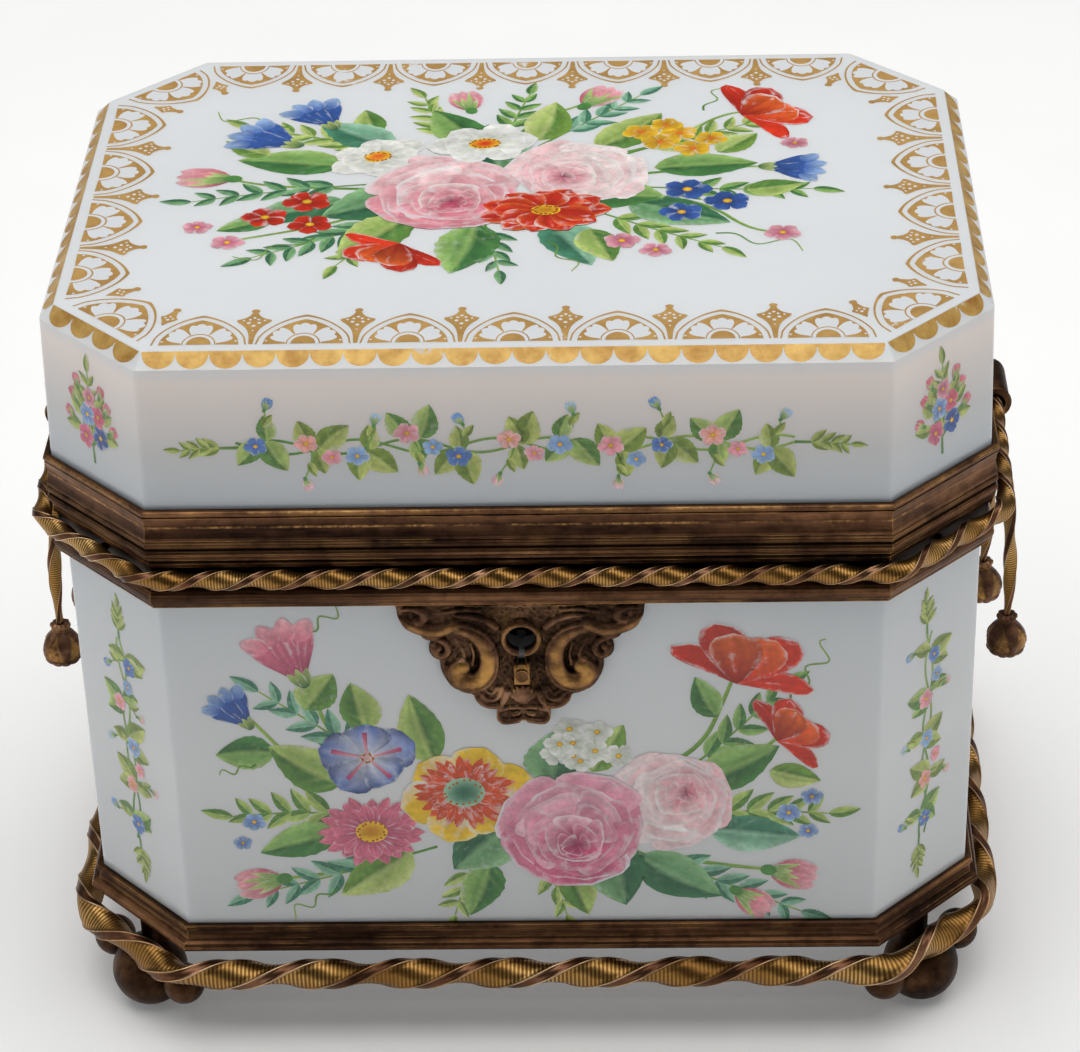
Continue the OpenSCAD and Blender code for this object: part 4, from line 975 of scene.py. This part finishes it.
def open_flower(p, x, y, r, petals, low, high, heart, heart_rim, squash, turn, wide, rings=2, fade=0.8,
                streaks=0.35, button=0.27, rim=None):
    """Open flower with rings of petals round a stippled button."""
    p.start()
    for ring in range(rings):
        for k in range(petals):
            c, s = turned(1, 360 * (k + 0.5 * ring) / petals + p.dice.uniform(-4, 4))
            s *= squash
            length = r * math.hypot(c, s) * (1 - 0.2 * ring) * p.dice.uniform(0.92, 1.06)
            p.petal(x, y, math.degrees(math.atan2(s, c)) + turn, length, r * wide, low, high, widest=0.64,
                    full=0.68, fade=fade, streaks=streaks, rim=rim)
    p.disc(x, y, r * button, r * button * squash, turn, heart, heart_rim, 3, 18)
    for k in range(16):
        a = math.tau * k / 16 + p.dice.uniform(-0.1, 0.1)
        d = r * button * p.dice.uniform(0.72, 0.98)
        dx, dy = math.cos(a) * d, math.sin(a) * d * squash
        p.disc(x + dx, y + dy, r * 0.03, r * 0.03, 0, RED_DEEP, OCHRE, 1, 6)


def small_flower(p, x, y, r, low, high, heart=YELLOW):
    """Five round petals about a dot."""
    p.start()
    start = p.dice.uniform(0, 72)
    for k in range(5):
        c, s = turned(1, start + 360 * k / 5)
        s *= 0.85
        p.petal(x, y, math.degrees(math.atan2(s, c)), r * math.hypot(c, s), r * 0.8, low, high, widest=0.66,
                full=0.6, rows=5, columns=4, streaks=0.2)
    p.disc(x, y, r * 0.2, r * 0.18, 0, heart, OCHRE, 2, 8)


def bud(p, x, y, turn, size, low=ROSE_DEEP, high=ROSE_PALE):
    """A bud that shows its colour between green sepals."""
    p.start()
    for spread in (-13, 13, 0):
        p.petal(x, y, turn + spread, size, size * 0.5, low, high, widest=0.5, full=0.7, streaks=0.4)
    for spread in (-24, 24, -8, 8):
        length = size * p.dice.uniform(0.5, 0.95)
        p.petal(x, y, turn + spread, length, size * 0.17, GREENS[0][1], GREENS[3][2], widest=0.32, full=0.9)
    p.disc(x, y, size * 0.16, size * 0.13, turn, GREENS[0][1], GREENS[0][1])


def cup_flower(p, x, y, turn, size):
    """A poppy seen from the side, opening along turn."""
    p.start()
    for k, (spread, reach, wide) in enumerate(((-58, 0.95, 0.36), (54, 1.0, 0.4), (-24, 1.02, 0.62),
            (26, 1.0, 0.64), (-14, 0.84, 0.66), (16, 0.8, 0.7))):
        foot, tip = RED_DEEP if k % 2 else RED, RED if k < 4 else ORANGE
        p.petal(x, y, turn + spread, size * reach, size * wide, foot, tip, widest=0.66, full=0.5, rows=10,
                columns=10, bend=spread / 160, streaks=0.5, fade=1.2, notch=0.06)


def bell_flower(p, x, y, turn, size, low=BLUE_DEEP, high=BLUE, rim=BLUE_PALE):
    """A trumpet on a green calyx, with its lip turned out."""
    p.start()
    for spread, reach in ((-13, 1.0), (13, 1.0), (0, 1.02)):
        p.petal(x, y, turn + spread, size * reach, size * 0.34, low, high, widest=0.72, full=0.55,
                bend=spread / 70, fade=0.7, streaks=0.3)
    for spread in (-30, -10, 10, 30):
        ax, ay = turned(size * 0.78, turn + spread * 0.5)
        p.petal(x + ax, y + ay, turn + spread * 1.7, size * 0.42, size * 0.3, high, rim, widest=0.42,
                streaks=0.3)
    for spread in (-26, 26, 0):
        p.petal(x, y, turn + spread, size * 0.34, size * 0.13, GREENS[0][0], GREENS[1][2], widest=0.4)


def tendril(p, x, y, turn, length, curls=1.6):
    """A curled thread of a stem."""
    p.start()
    c, s = turned(1, turn)
    points = []
    for k in range(27):
        t = k / 26
        b = math.sin(t * math.tau * curls) * length * 0.11 * (0.35 + t)
        points.append((x + c * length * t - s * b, y + s * length * t + c * b))
    p.stroke(points, 0.36, 0.2, STEM, STEM_LIGHT, smooth=1)


def greenery(p, sprigs, stems, thick, leaves):
    """A bouquet's green under its flowers: leafy sprigs, then stems, then broad leaves."""
    for x, y, turn, length, pairs, size in sprigs:
        p.start(SPRIG_COAT)
        sprig(p, x, y, turn, length, pairs, size)
    for points in stems:
        p.start()
        p.stroke(points, thick, 0.5, STEM, STEM_LIGHT)
    for x, y, turn, length, wide, tone in leaves:
        p.start(LEAF_COAT)
        p.leaf(x, y, turn, length, wide, GREENS[tone])


def top_bouquet():
    p = Painting(11)
    p.panel = Panel((-3.5, 3.5, BOX_H), (1, 0, 0), (0, 1, 0))
    sprigs = ((-12, 8, 150, 30, 6, 6.0), (-6, 12, 118, 19, 5, 5.2), (6, 12, 48, 24, 5, 5.5),
              (16, 8, 24, 28, 6, 5.8), (18, -2, -8, 30, 6, 5.6), (12, -8, -38, 26, 5, 5.5),
              (-2, -12, -78, 17, 4, 5.0), (-12, -9, -142, 28, 6, 5.8), (-16, 0, 184, 31, 6, 5.6),
              (-14, -10, -116, 19, 4, 5.0), (1, 14, 84, 17, 4, 5.0))
    stems = (((18, 8), (28, 14), (34, 22), (40, 24)), ((20, -4), (32, -8), (38, -17), (44, -18)),
             ((-18, 8), (-28, 16), (-36, 18)), ((-16, -8), (-26, -14), (-38, -18)),
             ((22, 2), (33, 4), (41, 4)), ((-20, -2), (-34, -1), (-42, 2)), ((2, 15), (6, 22), (13, 27)))
    leaves = ((-4, 12, 112, 15, .55, 0), (6, 14, 74, 14, .55, 3), (15, 11, 44, 16, .5, 1),
              (24, 4, 10, 16, .5, 0), (20, -7, -32, 17, .52, 4), (8, -13, -60, 16, .55, 2),
              (-3, -14, -96, 16, .6, 0), (-13, -11, -132, 17, .55, 1), (-23, -6, -164, 16, .52, 4),
              (-24, 6, 166, 17, .5, 0), (-17, 12, 136, 15, .55, 2), (0, 4, 92, 16, .7, 4),
              (10, -2, -20, 16, .7, 0), (-12, -4, 200, 16, .7, 4), (34, 9, 52, 9, .6, 3),
              (38, -4, 8, 9, .6, 1), (-36, 10, 150, 9, .55, 3), (-34, -11, 214, 9, .55, 0),
              (14, -16, -76, 11, .6, 1), (-20, 17, 108, 9, .6, 1))
    greenery(p, sprigs, stems, 0.8, leaves)
    p.base = SMALL_COAT
    yellow = ((25, 13, 3.4), (30, 10.5, 3.2), (28, 16, 3.2), (22, 16.5, 3.2), (33, 14, 2.8), (26, 19, 2.8))
    for x, y, r in yellow:
        small_flower(p, x, y, r, OCHRE, YELLOW, ORANGE)
    for x, y, r in ((29, -3.5, 4.0), (35, -7.5, 3.8), (28, -11, 3.6)):
        small_flower(p, x, y, r, BLUE_DEEP, BLUE, YELLOW)
    for x, y, r in ((-29, -6, 4.0), (-35, -11, 3.8), (-28, -13.5, 3.6)):
        small_flower(p, x, y, r, RED_DEEP, RED, YELLOW)
    for x, y, turn, size in ((-31, 13, 152, 11), (-26, 19, 122, 10), (40, 4, -4, 9)):
        bell_flower(p, x, y, turn, size)
    for x, y, turn, size in ((13, 26, 56, 8.5), (-41, 2, 174, 9), (-5, 25, 104, 7.5)):
        bud(p, x, y, turn, size)
    for x, y, turn, size in ((38, 22, 28, 11), (-14, -20, -122, 9)):
        cup_flower(p, x, y, turn, size)
    for x, y, r in ((19, -20, 3.0), (43, -18, 3.0), (24, -23, 2.7), (-40, -19, 2.8), (-45, -14, 2.5),
                    (46, 12, 2.4)):
        small_flower(p, x, y, r, MAUVE, ROSE_PALE, YELLOW)
    for x, y, turn, length in ((33, -18, -20, 14), (-34, 20, 158, 13), (32, 24, 70, 9),
                               (-27, -18, -150, 13), (8, -20, -64, 10)):
        tendril(p, x, y, turn, length)
    p.base = BLOOM_COAT
    open_flower(p, -19, 9, 8.2, 6, GREY_GREEN, WHITE, ORANGE, YELLOW, 0.76, 40, 0.66, fade=0.6, rim=WHITE)
    rose(p, 12.5, 3.0, 10.8, 215, ROSE_MID, ROSE_PALE, ROSE_WHITE, linear("fffaf4"))
    p.base = FRONT_COAT
    open_flower(p, -2.5, 13, 9.2, 6, GREY_GREEN, WHITE, RED, YELLOW, 0.72, 10, 0.66, fade=0.6, rim=WHITE)
    rose(p, -8, -3.5, 12.0, -70)
    p.base = TOP_COAT
    open_flower(p, 7.5, -10, 10.2, 11, RED_DEEP, RED, OCHRE, YELLOW, 0.72, 0, 0.5, fade=0.9, streaks=0.5,
                rim=ORANGE, button=0.22)
    p.done("enamel_bouquet_top", "lid", ENAMEL)


def front_bouquet():
    p = Painting(23)
    p.panel = wall_panel("front", BASE_INSET, 45)
    sprigs = ((22, 2, 40, 24, 5, 5.6), (24, -4, 4, 22, 5, 5.6), (-20, 4, 140, 25, 5, 5.6),
              (-24, -4, 172, 21, 5, 5.6), (14, -10, -24, 31, 6, 5.8), (-14, -10, -160, 30, 6, 5.8),
              (2, -12, -66, 12, 3, 4.6), (-8, -12, -112, 12, 3, 4.6))
    stems = (((20, 4), (27, 9), (30, 17), (32, 23)), ((24, 2), (33, 5), (39, 11)),
             ((-24, 6), (-30, 12), (-32, 22)), ((-26, 2), (-35, 6), (-41, 14)),
             ((20, -12), (30, -14), (38, -15)), ((-20, -12), (-30, -15), (-38, -16)))
    leaves = ((10, 4, 66, 10, .6, 3), (-14, 6, 110, 13, .55, 1), (26, 2, 22, 14, .55, 0),
              (-28, 2, 152, 13, .6, 1), (17, -12, -38, 15, .55, 4), (6, -14, -66, 10, .6, 1),
              (-6, -13, -102, 11, .6, 0), (-18, -11, -138, 14, .55, 3), (28, -7, -12, 14, .5, 2),
              (-29, -7, 192, 13, .5, 0), (4, 2, 90, 10, .9, 4), (-3, -6, 230, 12, .8, 4),
              (12, -10, -70, 12, .8, 4), (29, 14, 120, 8, .6, 0), (-33, 16, 60, 8, .8, 1),
              (-38, 8, 176, 9, .7, 0), (37, 4, -20, 8, .6, 3), (-24, 12, 96, 9, .7, 1))
    greenery(p, sprigs, stems, 0.9, leaves)
    p.base = SMALL_COAT
    for k in range(16):
        c, s = turned(p.dice.uniform(0, 5.8), p.dice.uniform(0, 360))
        small_flower(p, 6.5 + c * 1.4, 8.4 + s * 0.72, 2.6, GREY_GREEN, WHITE, YELLOW)
        p.base += 0.0012
    p.base = BUD_COAT
    cup_flower(p, 32, 20, 72, 11.5)
    cup_flower(p, 38, 9.5, 40, 8.0)
    bell_flower(p, -32.5, 20, 112, 11, PLUM, PINK, ROSE_PALE)
    bell_flower(p, -41, 12.5, 128, 7.5)
    for x, y, turn, size in ((-38, -16, 192, 8), (37, -15, -12, 8), (32, -19, -38, 7)):
        bud(p, x, y, turn, size)
    for x, y, turn, length, curls in ((-33, 29, 40, 10, 2.6), (-41, 6, 200, 6, 2), (40, 17, 60, 12, 2.4),
                                      (-30, -18, 214, 9, 2.2)):
        tendril(p, x, y, turn, length, curls)
    for x, y, r in ((40, -4, 2.1), (43.5, -1, 1.9), (43, -7.5, 1.7), (-42, -5, 2.0), (-44, -9, 1.6)):
        small_flower(p, x, y, r, BLUE, BLUE_PALE)
    p.base = BLOOM_COAT
    open_flower(p, -24, -7, 8.2, 20, PLUM, PINK, OCHRE, YELLOW, 0.82, 0, 0.26, streaks=0.5, button=0.3)
    open_flower(p, -24, 7, 7.6, 5, WHITE, BLUE, GREY_GREEN, WHITE, 0.84, 20, 1.0, rings=1, fade=0.5,
                rim=BLUE_DEEP, button=0.14)
    for k in range(5):
        ax, ay = turned(5.6, 20 + 72 * k)
        p.stroke([(-24, 7), (-24 + ax, 7 + ay * 0.84)], 0.25, 0.8, ROSE_PALE, MAUVE)
    rose(p, 22, -1.5, 9.6, 30, ROSE_MID, ROSE_PALE, ROSE_WHITE, linear("fff4f0"))
    p.base = FRONT_COAT
    open_flower(p, -9.5, 0, 10.6, 6, OCHRE, YELLOW, OCHRE, YELLOW, 0.86, 12, 0.8, rings=1, streaks=0.3,
                rim=YELLOW)
    open_flower(p, -9.5, 0.4, 8.0, 26, RED_DEEP, linear("e85a24"), GREENS[2][0], GREENS[2][2], 0.86, 0, 0.2,
                rings=3, streaks=0.4, button=0.4)
    p.base = TOP_COAT
    rose(p, 7, -6.5, 11.0, -80, *map(linear, ("a72c58", "d65c85", "e893ab", "f6c9d4")))
    p.done("enamel_bouquet_front", "base", ENAMEL)


# a garland's flowers in turn, each at its heart and at its petals' ends
BLOSSOMS = (BLUE, BLUE_SOFT), (CORAL, ROSE_PALE), (BLUE_SOFT, BLUE_PALE), (ROSE_MID, ROSE_PALE)


def garland(p, half, wave, shift, bloom=1.0, tips=8.0):
    """Two waved stems that cross along x, with leaves and small flowers, half long to each side."""
    turns = max(1, round(half / 11))

    def sway(x, phase=0.0):
        return wave * 0.6 * math.sin((x + half) / (2 * half) * math.tau * turns + shift + phase)

    marks = [-half + 2 * half * k / 40 for k in range(41)]
    for phase in (0, 2.4):
        p.start(VINE_COAT)
        p.stroke([(x, sway(x, phase)) for x in marks], 0.42, 0.42, STEM, STEM_LIGHT, smooth=1)
    p.base = TIP_COAT
    for side in (-1, 1):
        sprig(p, side * half, sway(side * half), 0 if side > 0 else 180, tips, 4, 2.8, OLIVE)
    count = max(2, round(half / 3.6))
    for k in range(count):
        x = -half + 2 * half * (k + 0.5) / count
        y = sway(x)
        up = 1 if k % 2 else -1
        tones = OLIVE if k % 3 else GREENS[1]
        for turn, length in ((58, 5.8), (112, 5.0), (-80, 4.2)):
            p.start(FOLIAGE_COAT)
            foot, way = x + p.dice.uniform(-1.2, 1.2), up * turn + p.dice.uniform(-14, 14)
            p.leaf(foot, y, way, length * bloom, 0.7, tones, veins=3)
        low, high = BLOSSOMS[k % 4]
        p.base = BLOSSOM_COAT
        small_flower(p, x - 0.8, y + up * 0.9, p.dice.uniform(1.7, 2.2) * bloom, low, high)
        if k % 2:
            second = (PINK, ROSE_PALE) if k % 4 == 1 else BLOSSOMS[2]
            small_flower(p, x + 2.8, y - up * 1.4, 1.6 * bloom, *second)
        p.start(FOLIAGE_COAT)
        tip = (x + p.dice.uniform(-2.4, 2.4), y - up * wave * p.dice.uniform(1.9, 2.7))
        p.stroke([(x, y), ((x + tip[0]) / 2 + 0.6, y - up * wave), tip], 0.34, 0.22, STEM, STEM_LIGHT)
        p.leaf((x + tip[0]) / 2, y - up * wave * 1.1, -up * 60, 2.6 * bloom, 0.5, OLIVE, veins=2)
        bud(p, tip[0], tip[1], -up * p.dice.uniform(50, 130), 2.2 * bloom, high, shade(high, 1.3))


def posy(p, tall):
    """An upright sprig with small flowers round its middle, tall along x."""
    p.base = VINE_COAT
    sprig(p, -tall / 2, 0, 4, tall, 5, 3.6, OLIVE)
    fork = -tall * 0.3
    for turn, length in ((34, 0.5), (-32, 0.5), (58, 0.4), (-56, 0.4), (20, 0.62), (-18, 0.6)):
        p.start(FOLIAGE_COAT)
        ax, ay = turned(tall * length, turn)
        twig = [(fork, 0), (fork + ax * 0.6, ay * 0.4), (fork + ax, ay * 0.8)]
        p.stroke(twig, 0.35, 0.22, STEM, STEM_LIGHT)
        p.leaf(fork + ax * 0.7, ay * 0.5, turn * 1.5, 3.6, 0.6, OLIVE, veins=2)
        bud(p, fork + ax, ay * 0.8, turn, 2.4, ROSE_DEEP, PINK)
    p.base = BLOSSOM_COAT
    for x, y, r, low, high in (
            (-3.4, 1.6, 2.1, MAUVE, PINK), (-2.6, -1.9, 2.2, BLUE_DEEP, BLUE),
            (0.4, 0.9, 2.1, BLUE, BLUE_PALE), (0.8, -1.6, 2.0, ROSE_DEEP, ROSE_MID),
            (3.4, 0.2, 1.8, MAUVE, ROSE_PALE)):
        small_flower(p, x, y, r, low, high)


def turned_panel(panel):
    """The same face with x running up it, for a garland that climbs."""
    return Panel(panel.at_mm, panel.up, -panel.right)


def garlands():
    """Garlands along the lid's and base's walls and up the base's corners; posies on the lid's corners."""
    lid, base = Painting(31), Painting(37)
    for i, wall in enumerate(("front", "back", "left", "right")):
        lid.panel = wall_panel(wall, LID_MIDDLE_INSET, 107.5, LID_DRAFT, LID_WALL_H)
        garland(lid, 40 if i < 2 else 24, 2.0, i * 0.7)
    for i, wall in enumerate(("front_left", "front_right", "back_left", "back_right")):
        lid.panel = turned_panel(wall_panel(wall, LID_MIDDLE_INSET, 108, LID_DRAFT, LID_WALL_H))
        posy(lid, 15)
        base.panel = turned_panel(wall_panel(wall, BASE_INSET, 50))
        garland(base, 19, 1.5, i * 1.1, 0.92, 6.0)
    for wall in ("left", "right"):
        base.panel = wall_panel(wall, BASE_INSET, 36)
        garland(base, 17, 2.2, 2)
    lid.done("enamel_garlands_lid", "lid", ENAMEL)
    base.done("enamel_garlands_base", "base", ENAMEL)


# ---- gilding ----------------------------------------------------------------

LEAFED, BARE = (1, 1, 1, 1), (0, 0, 0, 1)
SCALLOP_W, SCALLOP_H, SCALLOP_TOP = 4.75, 2.2, 2.45
BORDER_INSET, ARCH_H = 4.4, 8.6


def side_length(inset, wall):
    """Length of a wall's straight edge where the outline stands in by inset."""
    c = CORNER_CUT - (2 - math.sqrt(2)) * inset
    if "_" in wall:
        return c * math.sqrt(2)
    return 2 * ((HALF_W if wall in ("front", "back") else HALF_D) - inset - c)


def all_gold(u, w):
    return LEAFED


def no_gold(u, w):
    return BARE


def gild_bevel():
    """A scalloped gold edge on the lid's bevel."""
    p = Painting(5)
    for wall in WALLS:
        p.panel = wall_panel(wall, LID_DRAFT, BOX_H - BEVEL_H, BEVEL_W, BEVEL_H)
        top = side_length(2.9, wall) - 0.4
        count = round(top / SCALLOP_W)
        pitch = top / count
        p.start(GOLD_LINE)
        p.film(count * 2, 1, lambda u, w: ((u - 0.5) * top, 2.3 + 0.55 * w), all_gold)
        for k in range(count):
            x = (k + 0.5) * pitch - top / 2
            rx, ry = pitch * 0.49, SCALLOP_H * p.dice.uniform(0.92, 1.04)
            p.start(GOLD_LEAF)

            def scallop(u, w):
                across = rx * (0.02 + 0.98 * w) * math.cos(math.pi * u)
                return x + across, SCALLOP_TOP - ry * w * max(0.0, math.sin(math.pi * u)) ** 0.9
            p.film(12, 2, scallop, all_gold)
    p.done("gilt_scallops", "lid", BRIGHT_GOLD, "gilt_brass")


def arch(p, x, half):
    """One pointed arch of the border, standing on y = 0, with a reserved trefoil over a half disc."""
    def crown(scale, k):
        t = abs(2 * k - 1)
        side = -1 if k < 0.5 else 1
        bulge = max(0.0, math.cos(t * math.pi / 2)) ** 0.45
        return x + side * half * scale * t ** 0.92, ARCH_H * scale * (0.68 * bulge + 0.32 * (1 - t))

    def polar(r, a):
        return x + half * r * math.cos(a), 0.1 + ARCH_H * r * math.sin(a)

    def web(u, w):
        outer, inner = crown(0.84, u), polar(0.36, math.pi * (1 - u))
        return inner[0] + (outer[0] - inner[0]) * w, inner[1] + (outer[1] - inner[1]) * w

    p.start(GOLD_SHAPE)
    p.film(40, 1, lambda u, w: crown(1.0 - w * (0.04 + 0.03 * (1 - abs(2 * u - 1)) ** 3), u), all_gold)
    p.film(40, 3, web, all_gold)
    for a, reach, wide in ((90, 0.70, 30), (32, 0.76, 25), (148, 0.76, 25)):
        def lobe(u, w):
            side = 2 * w - 1
            swell = max(0.0, 1 - side ** 4) ** 0.5 * (0.84 + 0.16 * abs(math.cos(1.5 * math.pi * side)))
            return polar(0.34 + (reach - 0.34) * swell * u, math.radians(a + wide * side))
        p.film(3, 24, lobe, no_gold)
        for side in (-1, 1):
            p.disc(*polar(0.78, math.radians(a + 24 * side)), 0.2, 0.2, 0, BARE, BARE, 1, 8)
    p.film(18, 1, lambda u, w: polar(0.37 * w, math.pi * u), no_gold)
    p.film(18, 1, lambda u, w: polar(0.33 + 0.03 * w, math.pi * u), all_gold)
    p.film(18, 2, lambda u, w: polar(0.26 * w, math.pi * u), all_gold)


# a finial's half width in mm at shares of its height, and its pierced dots: across in mm, up, radius in mm
BLADE = (((0.3, 0.01), (0.5, 0.36), (1.2, 0.6), (2.9, 0.82), (1.5, 0.87), (0.7, 0.97), (0.4, 1.08)),
         ((0, 0.63, 0.3), (0, 0.9, 0.26), (-0.75, 0.73, 0.3), (0.75, 0.73, 0.3), (-1.5, 0.81, 0.2),
          (1.5, 0.81, 0.2), (-0.6, 0.84, 0.24), (0.6, 0.84, 0.24), (0, 0.47, 0.17)))
CORNER_BLADE = (((0.1, 0.62), (0.6, 0.74), (1.5, 0.87), (0.95, 0.9), (0.6, 0.99), (0.4, 1.09)),
                ((0, 0.81, 0.26), (-0.6, 0.86, 0.2), (0.6, 0.86, 0.2), (0, 0.91, 0.2)))


def finial(p, x, tall=ARCH_H, blade=BLADE):
    """The pierced gold point that stands between two arches, with a bead on top."""
    half_widths, dots = blade
    outline = rounded(half_widths)
    n = len(outline) - 1

    def spot(u, w):
        half, up = outline[round(u * n)]
        return x + half * (2 * w - 1), tall * up
    p.start(GOLD_SHAPE)
    p.film(n, 4, spot, all_gold)
    for across, up, size in dots:
        p.disc(x + across, tall * up, size, size, 0, BARE, BARE, 1, 8)
    p.disc(x, tall * 1.13, 0.62, 0.55, 0, LEAFED, LEAFED, 2, 12)


def gild_border():
    """Pointed arches round the lid's top."""
    p = Painting(7)
    for wall, (x, y, azimuth) in WALLS.items():
        out = Vector((*turned(1, azimuth), 0))
        at, right = Vector((x, y, BOX_H)) - out * BORDER_INSET, Vector((-out.y, out.x, 0))
        p.panel = Panel(at, right, -out)
        run = side_length(BORDER_INSET, wall)
        count = 1 if "_" in wall else (7 if wall in ("front", "back") else 4)
        pitch = run / count
        half = pitch * (0.46 if count > 1 else 0.40)
        for k in range(count):
            arch(p, (k + 0.5) * pitch - run / 2, half)
        for k in range(1, count):
            finial(p, k * pitch - run / 2)
        for side in (-1, 1) if count == 1 else ():
            c, s = turned(side, 22.5)
            p.panel = Panel(at + right * side * (run / 2 - 0.8), right * abs(c) - out * s,
                            -out * abs(c) - right * s)
            finial(p, 0, ARCH_H / abs(c), CORNER_BLADE)
    p.done("gilt_border", "lid", MATT_GOLD, "gilt_brass")


# ---- carried-over solids ----------------------------------------------------

# the solids that aren't plain castings
NODE_FINISH = {"lid_glass": LID_GLASS, "base_glass": BASE_GLASS, "rim_band": BANDS, "lid_band": BANDS,
               "foot_band": BANDS, "lock_case": LOCK_IRON, "lock_key_pin": LOCK_IRON, "foot_screws": STEEL,
               "lock_screws": STEEL, "lock_bolt": STEEL, "hinge_pin": STEEL}


def finish_solids():
    for name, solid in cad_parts.items():
        finish = NODE_FINISH.get(name, CASTINGS)
        for slot in solid.material_slots:
            slot.material = finish


def lay_floor():
    shape = bmesh.new()
    bmesh.ops.create_grid(shape, x_segments=2, y_segments=2, size=4.0)
    mesh = bpy.data.meshes.new("floor")
    shape.to_mesh(mesh)
    shape.free()
    mesh.materials.append(pale_floor("pale_floor"))
    floor = bpy.data.objects.new("floor", mesh)
    bpy.context.scene.collection.objects.link(floor)


place_camera()
light_the_studio()
lay_floor()
finish_solids()
lay_ropes()
hang_tassels()
carve_lock_plate()
gild_bevel()
gild_border()
top_bouquet()
front_bouquet()
garlands()

bpy.context.view_layer.update()
